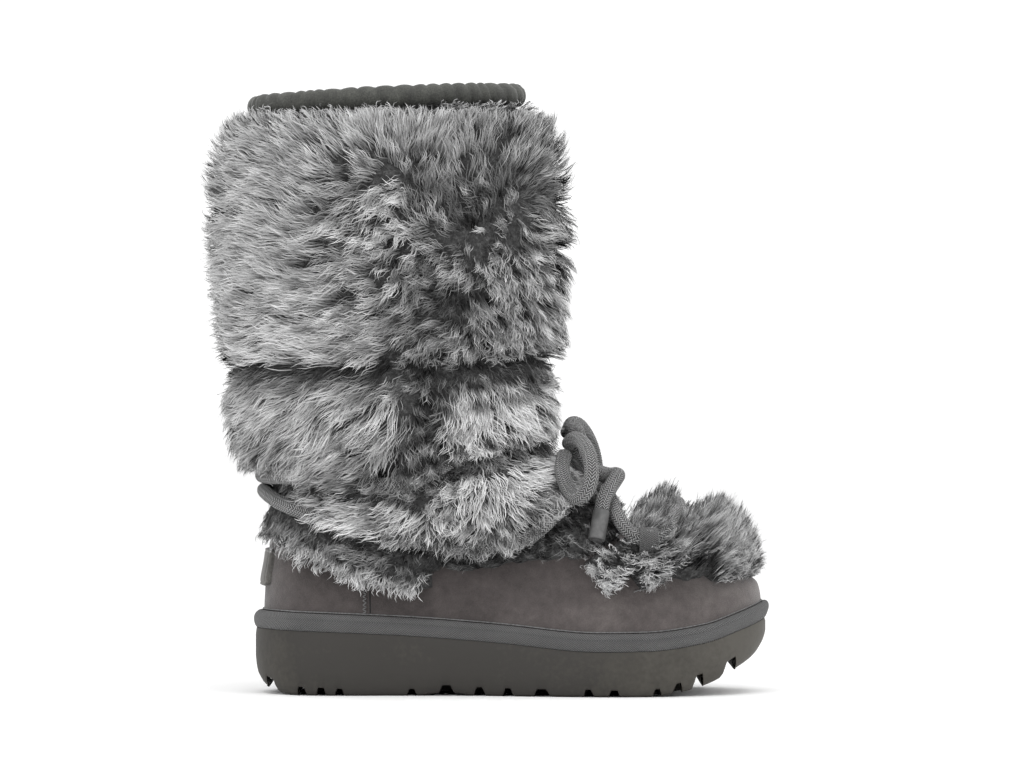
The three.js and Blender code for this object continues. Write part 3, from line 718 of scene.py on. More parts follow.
SOLE_LIP = 5
TREAD = [
    (0, 9.5), (8, 3.6), (16, 1), (26, 0), (84, 0), (101, 1.8), (118, 0), (206, 0), (220, 1.8), (236, 6),
    (253, 14.6), (262, 20.5), (270, 30),
]
SOLE_SIDE = [(0, 0.3), (0.1, 0.75), (0.4, 1), (0.85, 1), (1, 0.9)]
GROOVES = [  # place, width, height, reach from the sole's edges, where 0 is right across
    (10.8, 6.5, 5.4, 0),
    (26.2, 5.4, 4.6, 0),
    (36, 6, 4.2, 15),
    (45.5, 5.6, 3.8, 15),
    (83, 6, 3.6, 15),
    (101, 9, 3.8, 16),
    (118.5, 7, 4.6, 16),
    (133.5, 6, 4.2, 18),
    (151, 10, 4, 18),
    (175, 6, 4, 18),
    (188, 7, 3.6, 18),
    (210, 5, 4, 18),
    (220.5, 5.5, 5, 16),
    (231, 6.5, 6.6, 0),
    (247, 8.5, 6.6, 0),
]
tread, sole_lip = curve(*zip(*TREAD)), curve(*zip(*SOLE_SIDE))


def groove_rise(x, inward):
    """How far the grooves lift the tread, at places and distances in from the sole's edge."""
    rise = np.zeros(np.broadcast(x, inward).shape)
    for at, width, height, reach in GROOVES:
        across = 1 - ease(0.24 * width, 0.45 * width, np.abs(x - at)) ** 0.8
        deep = 1 - ease(reach - 1.5, reach + 0.5, inward) if reach else 1.0
        rise = np.maximum(rise, height * across * deep)
    return rise


def sole_point(angle, share):
    """A point of the sole's side at a share of its height."""
    point = skin(0, angle, sole_lip(share) * SOLE_LIP)
    low, high = tread(point[..., 0]), footbed(point[..., 0]) - 0.3
    point[..., 2] = low + share * (high - low)
    return point


def sole_material():
    n = Nodes("sole_foam", roughness=0.62)
    mottle = n.weigh((n.noise(35, 4), 0.6), (n.noise(420, 4), 0.4))
    # Painted light: the bowed term makes the sole darkest a little behind the middle of the foot and lighter
    # towards heel and toe.
    shade = n.math("ADD", mottle, n.bowed(-0.26, 1.1, 24))
    n.shades(shade, (0.3, tint(38, 35, 31)), (0.5, tint(50, 47, 41)), (0.84, tint(70, 67, 61)))
    grain = n.noise(2600, 3)
    n.bump(grain, 0.00012, 0.5, n.bump(n.noise(160, 3), 0.0006, 0.35))
    return n.material


def build_sole():
    cols, shares = 900, np.array([0, 0.015, 0.04, 0.085, 0.14, 0.22, 0.4, 0.65, 0.85, 0.95, 1.0])
    rows = len(shares)
    angle = circle(cols)
    base = sole_point(angle, np.zeros(cols))
    rise = groove_rise(base[:, 0], np.zeros(cols))
    height = footbed(base[:, 0]) - 0.3 - tread(base[:, 0])
    lifted = np.maximum(shares[:, None], rise / height + np.arange(rows)[:, None] * 0.004)
    side = sole_point(np.broadcast_to(angle, lifted.shape), np.clip(lifted, 0, 1))
    side[-1, :, 2] += 0.1
    round_edge = np.clip(1 - (lifted - rise / height) / 0.05, 0, 1) ** 2
    middle = side[:, :, 1].mean(axis=1, keepdims=True)
    side[..., 1] += 0.7 * round_edge * np.sign(middle - side[..., 1])

    steps, half = 20, cols // 2
    across = (1 - np.cos(np.linspace(0, math.pi, steps))) / 2
    left, right = side[0, :half + 1], side[0, (-np.arange(half + 1)) % cols]
    under = left[:, None] + (right - left)[:, None] * across[None, :, None]
    inward = np.minimum(np.abs(under[..., 1] - left[:, None, 1]), np.abs(under[..., 1] - right[:, None, 1]))
    under[..., 2] = tread(under[..., 0]) + groove_rise(under[..., 0], inward)
    left, right = side[-1, :half + 1], side[-1, (-np.arange(half + 1)) % cols]
    top = left[:, None] + (right - left)[:, None] * np.linspace(0, 1, 3)[None, :, None]
    faces = [
        lattice_faces(rows, cols, wrap_cols=True)[:, ::-1],
        lattice_faces(half + 1, steps) + rows * cols,
        lattice_faces(half + 1, 3)[:, ::-1] + rows * cols + (half + 1) * steps,
    ]
    points = np.concatenate([grid.reshape(-1, 3) for grid in (side, under, top)])
    make_piece("sole_lugged", points, faces, sole_material(), "outsole", "sole")


build_sole()

# --------------------------------------------------------------------------------------------------
# The welt: a padded twill braid round the feather edge, with a thread line over it.

WELT_STEP = 1.15
WELT = [(-0.2, 3.7), (0.4, 4.9), (2.4, 5.6), (4.6, 5.75), (6.6, 5.2), (8.3, 3.8), (9.2, 2.2), (9.1, 0.8)]


def lap(angle, rise, out):
    """A point round the feather edge, at a height over the footbed and a distance out."""
    point = skin(np.maximum(rise, 0) / rise_back(1.0), angle, out)
    point[..., 2] = footbed(point[..., 0]) + rise
    return point


def build_welt():
    cols, section = 420, even_steps(centripetal([(rise, out, 0) for rise, out in WELT]), WELT_STEP)[0]
    angle = circle(cols)
    rows = len(section)
    point = lap(angle, section[:, :1], section[:, 1:2] * np.ones((1, cols)))
    up = (np.arange(rows)[:, None] - rows / 2) * WELT_STEP
    uv = np.stack(np.broadcast_arrays(run_along(point[rows // 2]), up), -1).reshape(-1, 2)
    look = woven_material("welt_braid", 6.5, 1.3, 1.0, (58, 80, 102))
    make_sheet("braid_welt", point, look, "welt", "braid", uv=uv)
    thread("thread_welt", lap(angle, np.full(cols, 9.9), 0.45), 0.42, THREAD, "welt", "braid", closed=True)


def thin_tube(path, radius, closed=False):
    """The lattice of a thin round tube, with a radius for all of it or one for each point."""
    side, other = frames_along(path, closed)
    return path[:, None] + spokes(side, other, THREAD_SIDES) * np.reshape(radius, (-1, 1, 1))


def thread(name, path, radius, material, node, slot, closed=False):
    make_sheet(name, thin_tube(path, radius, closed), material, node, slot, wrap_rows=closed)


THREAD_SIDES = 6
THREAD = speckled("sewing_thread", 0.7, (900, 2), (0.35, 84), (0.65, 116), 2500, 0.5)
build_welt()

# --------------------------------------------------------------------------------------------------
# The suede foot, its side seams, and the blank tab on the heel.


def suede_material():
    """Brushed nap, with painted light that makes it a shade paler towards the toe."""
    n = Nodes("suede_nap", roughness=0.95, Sheen_Weight=0.35)
    cloud, brushed, nap = n.noise(28, 4, 0.6), n.noise(190, 4, 0.6), n.noise(1700, 3, 0.7)
    # Painted light: paler towards the toe, and least between the heel and the middle of the foot.
    toe = n.bowed(-0.06, 0.85, 6)
    fine = n.weigh((brushed, 0.3), (nap, 0.3))
    shade = n.math("ADD", n.math("ADD", n.math("MULTIPLY", cloud, 0.45), fine), toe)
    n.shades(shade, (0.36, tint(54, 49, 48)), (0.52, tint(72, 66, 65)), (0.7, tint(95, 89, 87)))
    n.bump(nap, 0.0004, 0.55, n.bump(brushed, 0.0008, 0.35))
    return n.material


SUEDE = suede_material()


def build_upper():
    angle = circle(220)
    level = np.concatenate([np.linspace(0, 5, 26), np.linspace(5.3, 8.5, 10)])[:, None]
    outside = skin(level, angle, 0.0)
    outside[0, :, 2] = footbed(outside[0, :, 0])
    wrinkle = drift(21, outside, 26) * 0.35
    outside += last_normal(level, angle) * (wrinkle * ease(0.6, 2.0, level))[..., None]
    both = np.concatenate([outside, skin(level[::-4], angle, -WALL)])
    make_sheet("suede_foot", both, SUEDE, "upper", "suede")


def seam_point(x, z, side, out):
    """A point on the foot's side at a distance along and a height, on the outer (1) or inner (-1) side."""
    angle = np.full(len(x), side * math.pi / 3)
    foot = V_GRID[:160]
    for _ in range(8):
        level = np.array([np.interp(h, last_point(foot, a)[:, 2], foot) for h, a in zip(z, angle)])
        back, front = back_at(level), front_at(level) * LAST_LENGTH
        angle = side * np.arccos(1 - 2 * np.clip((x - back) / (front - back), 0.01, 0.99))
    return skin(level, angle, out)


# A dark material for a thin thread of painted shadow beside each side seam's ridge.
SEAM_SHADOW_PAINT = speckled("painted_seam_shadow", 1.0, (700, 2), (0.3, 24), (0.7, 40), 1500, 0.4)
SEAM_X, SEAM_FOOT, SEAM_TOP = 60.6, 39.5, 66
SEAM_POINTS = 24
ZIGZAG_X = (57.3, 59.4)
STITCH = 0.3 * np.array([0.5, 1, 1, 1, 0.5])  # radius at each point of a stitch


def zigzag(side):
    """The points of a seam's stitches, five rings each, and their faces."""
    count = len(STITCH)
    heights = np.linspace(SEAM_FOOT + 1, SEAM_TOP, SEAM_POINTS)
    line = seam_point(np.where(np.arange(SEAM_POINTS) % 2 == 0, *ZIGZAG_X), heights, side, 0.22)
    rise = last_normal(1.5, side * math.pi / 3) * (0.25 * np.sin(np.linspace(0, math.pi, count)))[:, None]
    points, faces = [], []
    for k, (start, end) in enumerate(zip(line[:-1], line[1:])):
        stitch = start + (end - start) * np.linspace(0.05, 0.95, count)[:, None] + rise
        points.append(thin_tube(stitch, STITCH).reshape(-1, 3))
        faces.append(lattice_faces(count, THREAD_SIDES, wrap_cols=True)[:, ::-1] + count * THREAD_SIDES * k)
    return np.concatenate(points), np.concatenate(faces)


def build_seams():
    for name, side in (("outer", 1), ("inner", -1)):
        z = np.linspace(SEAM_FOOT, SEAM_TOP, SEAM_POINTS)
        x = SEAM_X - 0.02 * (z - 40)
        thread(f"seam_edge_{name}", seam_point(x, z, side, 0.05), 0.55, SUEDE, "upper", "suede")
        # The dark thread beside the seam's ridge is painted shadow.
        thread(f"seam_shadow_{name}", seam_point(x + 0.75, z, side, -0.12), 0.42, SEAM_SHADOW_PAINT, "upper", "suede")
        make_piece(f"zigzag_{name}", *zigzag(side), THREAD, "upper", "suede")


HEEL_TAB = (0.25, 1.8, 3.5, 2.7)  # half angle, lowest and highest level, how far it stands out


def build_heel_tab():
    half, low, high, proud = HEEL_TAB
    rows, cols = 48, 60
    across, up = np.linspace(-1, 1, cols)[None], np.linspace(-1, 1, rows)[:, None]
    corner = np.abs(across) ** 6 + np.abs(up) ** 6
    squeeze = np.clip(1 / np.maximum(corner, 1) ** (1 / 6), 0, 1)
    a, v = across * squeeze * half, (low + high) / 2 + up * squeeze * (high - low) / 2
    edge = np.clip(1 - np.maximum(np.abs(across), np.abs(up)), 0, 1)
    swell = np.sqrt(1 - (1 - ease(0, 0.14, edge)) ** 2)
    groove = np.exp(-(((edge - 0.2) / 0.035) ** 2)) * 0.35
    grid = skin(v, a, swell * proud - groove)
    make_sheet("tab_blank", grid, tab_material(), "heel_tab", "suede", wrap_cols=False)


def tab_material():
    n = Nodes("tab_leather", roughness=0.8, Sheen_Weight=0.2)
    grain = n.noise(900, 4)
    shade = n.weigh((grain, 0.5), (n.noise(80, 3), 0.5))
    n.shades(shade, (0.36, tint(60, 58, 55)), (0.52, tint(76, 74, 71)), (0.68, tint(94, 92, 88)))
    n.bump(grain, 0.0003, 0.5)
    return n.material


build_upper()
build_seams()
build_heel_tab()

# --------------------------------------------------------------------------------------------------
# The drawcord collar: a gathered casing round the top of the leg.

COLLAR_Z = (307.8, 311.2, 314.2)  # its middle at the back, side and front
COLLAR_HALF = (4.6, 6)
GATHERS = 44


def build_collar():
    cols, sides = 460, 22
    angle = circle(cols)
    middle = skin(float(TOP), angle, -2.0)
    back, side, front = COLLAR_Z
    away, broad = (1 - np.cos(angle)) / 2, np.sin(angle) ** 2
    middle[:, 2] = back + (front - back) * away + (side - (back + front) / 2) * broad
    across = last_normal(float(TOP), angle) * (1, 1, 0)
    across /= np.linalg.norm(across, axis=1, keepdims=True)
    run = run_along(middle)
    total = run[-1] + np.linalg.norm(middle[0] - middle[-1])
    local = np.random.default_rng(31)
    places = np.cumsum(local.uniform(0.6, 1.4, GATHERS))
    places = np.concatenate([[0], places / places[-1] * total])
    phase = np.interp(run, places, np.arange(GATHERS + 1))
    swell = np.interp(run, places, np.append(local.uniform(0.8, 1.15, GATHERS), 1.0))
    turn = circle(sides)
    slant = 0.22 * np.sin(turn)[None] + 0.12 * drift(32, middle, 20)[:, None]
    pleat = np.abs(np.sin(math.pi * (phase[:, None] + slant)))
    fine = np.sin(TAU * (phase[:, None] * 2.7 + 0.5 * np.sin(turn + 1))) * (0.5 - 0.5 * np.sin(turn))
    size = 0.8 + 0.2 * swell[:, None] * pleat**0.6 + 0.03 * fine
    crease = np.exp(-(((np.angle(np.exp(1j * (turn - 0.9)))) / 0.2) ** 2))[None] * 0.07
    size = size - crease * ease(0.55, 0.9, away)[:, None]
    half_out, half_up = COLLAR_HALF
    reach = half_out * 1.06 * size * np.cos(turn)[None]
    lift = half_up * size * np.sin(turn)[None]
    points = middle[:, None] + across[:, None] * reach[..., None] + np.array([0, 0, 1]) * lift[..., None]
    uv = np.stack(np.broadcast_arrays(run[:, None], turn * 5), -1).reshape(-1, 2)
    look = casing_material()
    make_sheet("casing_gathered", points, look, "collar", "drawcord", wrap_rows=True, over=False, uv=uv)


def casing_material():
    n = Nodes("casing_cloth", roughness=0.8, Sheen_Weight=0.15)
    weave = n.weigh((n.noise(1300, 2), 0.5), (n.noise(110, 3), 0.5))
    n.shades(weave, (0.34, tint(38, 38, 36)), (0.5, tint(56, 57, 53)), (0.68, tint(76, 77, 72)))
    n.bump(n.noise(1500, 3), 0.0003, 0.6, n.bump(n.noise(260, 3), 0.0008, 0.4))
    return n.material


build_collar()

# --------------------------------------------------------------------------------------------------
# The inside: shorn wool lining and sock, and the webbing keepers.


def shorn_material():
    n = Nodes("shorn_wool", roughness=1.0, Sheen_Weight=0.3)
    curls = n.add("ShaderNodeTexVoronoi", Scale=330, Vector=n.place()).outputs["Distance"]
    soft = n.noise(700, 4, 0.7)
    shade = n.weigh((curls, 0.6), (soft, 0.5))
    n.shades(shade, (0.2, grey(150)), (0.5, grey(118)), (0.8, grey(80)))
    n.bump(n.math("SUBTRACT", 1.0, shade), 0.0016, 0.9)
    return n.material


SHORN = shorn_material()


def shorn_wall(seed, low, high, rows, offset, pile):
    """The lattice of the lining between two levels, its pile uneven."""
    level, angle = np.linspace(low, high, rows)[:, None], circle(100)
    inside = skin(level, angle, offset)
    return inside - last_normal(level, angle) * (np.abs(drift(seed, inside, 7)) * pile)[..., None]


def build_lining():
    leg_foot, leg_top = 8.55, 13.86
    leg = shorn_wall(41, leg_foot, leg_top, 56, -4.0, 1.2)
    lip = skin(leg_top, circle(leg.shape[1])[None], 0.4)
    make_sheet("lining_leg", np.concatenate([leg, lip]), SHORN, "shaft", "lining", over=False)
    make_sheet("lining_foot", shorn_wall(42, 0.6, 8.5, 20, -4.3, 0.8), SHORN, "upper", "lining", over=False)


def build_sock():
    half, steps = 90, 22
    angle = np.linspace(0, math.pi, half)
    left, right = (skin(0.2, side * angle, -4.6) for side in (1, -1))
    share = np.linspace(0, 1, steps)
    grid = left[:, None] + (right - left)[:, None] * share[None, :, None]
    crown = 1 - (2 * share[None] - 1) ** 8
    grid[..., 2] = footbed(grid[..., 0]) + 0.5 + 5.5 * crown + 0.7 * drift(43, grid, 6) * crown
    make_sheet("sock_shorn", grid, SHORN, "insole", "lining", wrap_cols=False)


KEEPER_AT = (206, 47, 81.6)
KEEPER_LOOP = [  # out from the boot and up, round the strand of lace
    (-5, -10.5), (-1.5, -7.6), (2.6, -5.2), (5.4, -0.8), (4.6, 3.4), (1.2, 5.6), (-3, 5.2), (-6, 2),
]
KEEPER_SECTION = [  # along the lace and through the webbing
    (-4.6, -0.55), (-4.9, 0), (-4.6, 0.55), (0, 0.67), (4.6, 0.55), (4.9, 0), (4.6, -0.55), (0, -0.67),
]


def build_keepers():
    look = woven_material("webbing", 1.4, 1.1, 0.9, (56, 80, 104))
    step = 0.8
    path = even_steps(centripetal([(0, out, up) for out, up in KEEPER_LOOP]), step)[0]
    out = np.cross(unit(np.gradient(path, axis=0)), (1, 0, 0))
    wide, thick = np.array(KEEPER_SECTION).T
    grid = path[:, None] + out[:, None] * thick[:, None]
    grid[..., 0] += wide
    uv = np.stack(np.broadcast_arrays(np.arange(len(path))[:, None] * step, wide), -1).reshape(-1, 2)
    for name, side in (("outer", -1), ("inner", 1)):
        placed, node = (grid + KEEPER_AT) * (1, side, 1), f"lace_keeper_{name}"
        make_sheet(f"webbing_keeper_{name}", placed, look, node, "braid", over=side < 0, uv=uv)


build_lining()
build_sock()
build_keepers()

# --------------------------------------------------------------------------------------------------
# The fleece. COMB says how the wool lies, at places on the boot's side: x and z, heading in the side view in
# degrees from the toe's direction, then in percent its curl, its tone from dark to light, and its lay from
# upright to flat.

COMB = {
    "cuff": [
        (-20, 300, 120, 15, 82, 70), (-18, 280, 155, 20, 75, 80), (-20, 255, 175, 20, 73, 90),
        (-20, 225, 180, 20, 75, 90), (-20, 195, 185, 20, 78, 90), (15, 300, 105, 15, 82, 80),
        (15, 284, 148, 20, 73, 90), (15, 262, 166, 20, 69, 95), (15, 235, 178, 20, 69, 95),
        (15, 205, 180, 20, 71, 95), (15, 186, 190, 20, 75, 95), (40, 299, 95, 20, 82, 85),
        (40, 283, 130, 20, 69, 90), (42, 262, 165, 25, 63, 95), (42, 235, 180, 25, 63, 95),
        (42, 205, 178, 25, 65, 95), (45, 186, 192, 20, 73, 95), (60, 299, 90, 20, 84, 85),
        (58, 286, 102, 20, 69, 90), (60, 272, 120, 40, 53, 80), (58, 250, 190, 50, 57, 85),
        (62, 228, 190, 45, 55, 90), (62, 205, 185, 40, 55, 90), (66, 186, 195, 35, 61, 90),
        (74, 262, 230, 61, 59, 85), (74, 245, 235, 65, 61, 85), (78, 228, 230, 65, 53, 85),
        (90, 299, 88, 15, 82, 85), (92, 283, 94, 20, 67, 95), (88, 271, 96, 40, 49, 80),
        (94, 252, 110, 43, 45, 85), (92, 222, 220, 61, 40, 85), (88, 200, 200, 43, 42, 85),
        (90, 186, 215, 50, 45, 80), (115, 299, 92, 20, 71, 85), (115, 285, 104, 25, 55, 95),
        (114, 268, 108, 35, 50, 90), (116, 250, 125, 50, 43, 85), (114, 226, 240, 65, 48, 85),
        (116, 200, 262, 61, 47, 85), (140, 299, 80, 20, 75, 85), (142, 283, 75, 30, 52, 80),
        (145, 268, 25, 30, 61, 80), (140, 250, 300, 50, 54, 85), (138, 225, 285, 61, 52, 85),
        (136, 200, 282, 54, 56, 85), (160, 285, 45, 20, 70, 60), (165, 265, 0, 20, 72, 60),
        (162, 240, 300, 30, 68, 80), (160, 210, 285, 30, 68, 80), (155, 190, 290, 30, 68, 80),
    ],
    "calf": [
        (-18, 170, 205, 20, 74, 90), (-15, 155, 215, 20, 75, 90), (-10, 138, 235, 20, 68, 90),
        (15, 170, 205, 20, 62, 95), (15, 155, 222, 20, 71, 95), (12, 138, 235, 25, 61, 90),
        (15, 124, 262, 30, 58, 90), (42, 170, 222, 20, 58, 95), (42, 152, 235, 25, 71, 95),
        (42, 136, 220, 30, 62, 95), (42, 124, 212, 30, 56, 90), (68, 170, 235, 30, 54, 95),
        (68, 150, 245, 40, 71, 90), (70, 132, 212, 40, 56, 90), (84, 168, 238, 70, 66, 80),
        (92, 150, 250, 70, 34, 80), (90, 134, 260, 70, 35, 80), (106, 168, 300, 50, 54, 90),
        (108, 152, 302, 40, 90, 90), (112, 140, 312, 50, 82, 90), (126, 166, 296, 45, 52, 90),
        (128, 152, 305, 40, 93, 90), (132, 140, 325, 50, 84, 90), (150, 165, 350, 40, 74, 80),
        (148, 150, 310, 40, 77, 80), (150, 138, 330, 40, 68, 80),
    ],
    "middle": [
        (8, 108, 215, 20, 54, 80), (30, 104, 205, 30, 75, 90), (30, 92, 200, 30, 83, 90),
        (55, 108, 206, 30, 73, 95), (55, 92, 204, 35, 79, 95), (55, 84, 212, 30, 73, 90),
        (80, 108, 212, 50, 75, 90), (82, 94, 225, 45, 68, 90), (85, 80, 250, 40, 56, 90),
        (105, 115, 225, 90, 75, 70), (108, 100, 258, 60, 64, 90), (108, 84, 265, 40, 49, 90),
        (122, 118, 332, 35, 92, 90), (122, 104, 302, 35, 81, 90), (122, 88, 285, 40, 51, 90),
        (140, 121, 350, 30, 96, 90), (142, 108, 325, 30, 96, 90), (142, 96, 300, 30, 60, 90),
        (155, 116, 340, 30, 86, 80), (155, 102, 320, 30, 64, 80),
    ],
    "ankle": [
        (12, 90, 262, 30, 52, 90), (14, 78, 278, 30, 70, 90), (22, 72, 262, 30, 64, 90),
        (35, 85, 245, 40, 45, 90), (35, 70, 256, 30, 72, 90), (50, 76, 225, 40, 47, 90),
        (52, 62, 256, 30, 78, 90), (70, 72, 222, 40, 39, 90), (72, 60, 256, 30, 68, 90),
        (86, 68, 240, 40, 33, 90), (85, 54, 270, 30, 76, 90), (100, 72, 240, 50, 29, 80),
        (104, 64, 225, 40, 43, 90), (112, 58, 205, 40, 56, 90), (120, 80, 250, 60, 29, 80),
        (125, 66, 206, 50, 43, 90), (140, 82, 195, 60, 41, 80), (145, 68, 212, 50, 41, 90),
        (158, 85, 200, 60, 37, 80), (160, 72, 236, 60, 39, 80), (165, 98, 250, 80, 37, 70),
    ],
    "vamp": [
        (108, 60, 215, 40, 45, 80), (118, 74, 230, 40, 31, 80), (128, 60, 210, 50, 42, 80),
        (138, 76, 220, 50, 31, 80), (150, 64, 225, 50, 40, 80), (160, 78, 240, 60, 37, 70),
        (175, 64, 250, 52, 66, 85), (185, 72, 262, 60, 61, 65), (185, 59, 268, 60, 78, 75),
        (197, 62, 282, 60, 76, 75), (190, 95, 30, 40, 69, 30), (205, 70, 288, 52, 52, 65),
        (207, 58, 278, 52, 74, 75), (200, 88, 70, 30, 74, 25), (212, 84, 60, 30, 64, 25),
        (222, 80, 60, 30, 54, 30), (215, 74, 45, 40, 54, 40), (222, 68, 340, 40, 52, 50),
        (225, 60, 288, 50, 67, 75), (230, 76, 80, 30, 56, 30), (236, 73, 80, 25, 62, 20),
        (243, 71, 60, 25, 72, 20), (240, 66, 30, 30, 67, 40), (243, 62, 312, 50, 75, 65),
        (234, 60, 305, 50, 71, 75), (250, 68, 80, 25, 72, 25), (256, 65, 55, 25, 75, 30),
        (260, 62, 340, 30, 75, 40), (262, 59, 310, 45, 78, 60),
    ],
}


def combed(rows, x, z):
    """Heading's cosine and sine, curl, tone and lay at each place, from the nearest rows of a comb."""
    at_x, at_z, heading, *percents = np.array(rows, float).T
    apart = (x[:, None] - at_x) ** 2 + (1.4 * (z[:, None] - at_z)) ** 2
    weight = 1 / (apart + 12) ** 2
    weight /= weight.sum(1, keepdims=True)
    heading = np.radians(heading)
    cosine, sine = weight @ np.cos(heading), weight @ np.sin(heading)
    size = np.hypot(cosine, sine) + 1e-6
    return cosine / size, sine / size, *(weight @ (percent / 100) for percent in percents)


MIDWAY = HIDE + NORMAL * 12
UP_STEP = np.gradient(MIDWAY, axis=0) / V_STEP
ROUND_STEP = (np.roll(MIDWAY, -1, axis=1) - np.roll(MIDWAY, 1, axis=1)) / (2 * TAU / A_COUNT)
ANKLE_HEM = [  # x along the foot, height of the wool's ragged lower edge over the suede
    (5, 86), (11, 80), (20, 71), (27, 64), (36, 62), (44, 58), (54, 57), (61, 54), (67, 55), (74, 50),
    (84, 49), (88, 55), (92, 64), (99, 68), (106, 66), (116, 66), (150, 72),
]
VAMP_HEM = [
    (95, 70), (102, 66), (108, 58), (115, 54), (122, 57), (130, 59), (139, 58), (146, 62), (154, 66),
    (161, 65), (167, 56), (176, 54), (185, 54), (191, 58), (197, 65), (203, 53), (209, 57), (218, 62),
    (226, 60), (235, 62), (243, 57), (254, 54), (262, 55), (270, 56),
]
RIM_HEIGHT = 305
HOLLOWS = [  # x, z, reach along and up, depth: partings in the fleece, where the wool lies lower and its tone is darkened as painted shade
    (90, 156, 9, 15, 0.97),
    (134, 162, 5, 8, 0.6),
    (130, 262, 10, 7, 0.6),
    (108, 248, 8, 9, 0.5),
    (100, 205, 10, 8, 0.5),
    (52, 113, 20, 5, 0.8),
    (14, 103, 12, 5, 0.7),
    (96, 127, 17, 4.5, 0.85),
    (134, 132, 20, 4.5, 0.8),
    (130, 74, 30, 9, 0.5),
    (212, 88, 9, 7, 0.7),
    (96, 80, 14, 6, 0.6),
]


def hem_height(hem, points):
    """Height of a ragged lower edge at the points."""
    return np.interp(points[..., 0], *zip(*hem))


def hollow(points):
    """How far each place is in a parting, from 0 to 1."""
    total = np.zeros(points.shape[:-1])
    for x, z, along, up, deep in HOLLOWS:
        away = ((points[..., 0] - x) / along) ** 2 + ((points[..., 2] - z) / up) ** 2
        total = np.maximum(total, deep * np.exp(-away))
    return total


def flank_window(end):
    """1 on the boot's two sides, 0 at the back and from an angle near the shin, over the lattice."""
    return ease(34, 50, DEGREES) * (1 - ease(end - 12, end, DEGREES))


def lace_cover():
    """Fleece depth that hides the turns of lace on the boot's sides, over the lattice."""
    cover = np.zeros_like(FLEECE)
    for fold, end in (("lower lace", 166), ("upper lace", 178)):
        need = (FOLD_DEPTH[fold] + 2 * LACE_RADIUS + 3) * flank_window(end)
        height = round_leg(FOLDS[fold][0]) + 3
        cover = np.maximum(cover, need * np.exp(-(((HIDE[..., 2] - height) / 11) ** 2)))
    return cover


COVER = lace_cover()
OVERHANG = np.maximum.reduce([FLEECE, np.roll(FLEECE, -4, axis=0), np.roll(FLEECE, -8, axis=0), COVER])
ANKLE_DEPTH = np.maximum(FLEECE, COVER)


def vamp_cover():
    """The vamp's fleece, deeper on its crest and where it closes over the lace, thinner at the toe."""
    x, crown = HIDE[..., 0], ease(VAMP_FLANK, VAMP_FLANK + 15, DEGREES)
    lace = 9 * np.exp(-(((x - 226) / 7) ** 2)) + 5 * np.exp(-(((x - 208) / 9) ** 2))
    return (VAMP_FLEECE + lace * crown) * (1 - 0.22 * np.exp(-(((x - 262) / 12) ** 2)))


THICK = [  # x, z, reach along and up, how much thicker: where the cuff's wool parts, and low on the vamp
    (72, 281, 13, 10, 1.4),
    (248, 59, 24, 6, 1.3),
    (182, 58, 16, 7, 1.2),
    (206, 57, 9, 6, 1.2),
]


def scatter(count, low, high, depth, local):
    """Random places on the last between two levels at each angle, closer together in the thick places."""
    outside = HIDE + NORMAL * depth[..., None] * 0.8
    up, round_ = np.gradient(outside, axis=0), np.roll(outside, -1, axis=1) - outside
    area = np.linalg.norm(np.cross(up, round_), axis=-1)
    for x, z, along, tall, more in THICK:
        area *= 1 + more * np.exp(-(((HIDE[..., 0] - x) / along) ** 2) - ((HIDE[..., 2] - z) / tall) ** 2)
    area[(V_GRID[:, None] < low[None]) | (V_GRID[:, None] > high[None])] = 0
    chance = np.cumsum(area.ravel())
    cell = np.searchsorted(chance, local.uniform(0, chance[-1], count))
    row, column = np.divmod(cell, A_COUNT)
    level = (row + local.uniform(-0.5, 0.5, count)) * V_STEP
    return np.clip(level, 0, TOP), (column + local.uniform(0, 1, count)) * TAU / A_COUNT


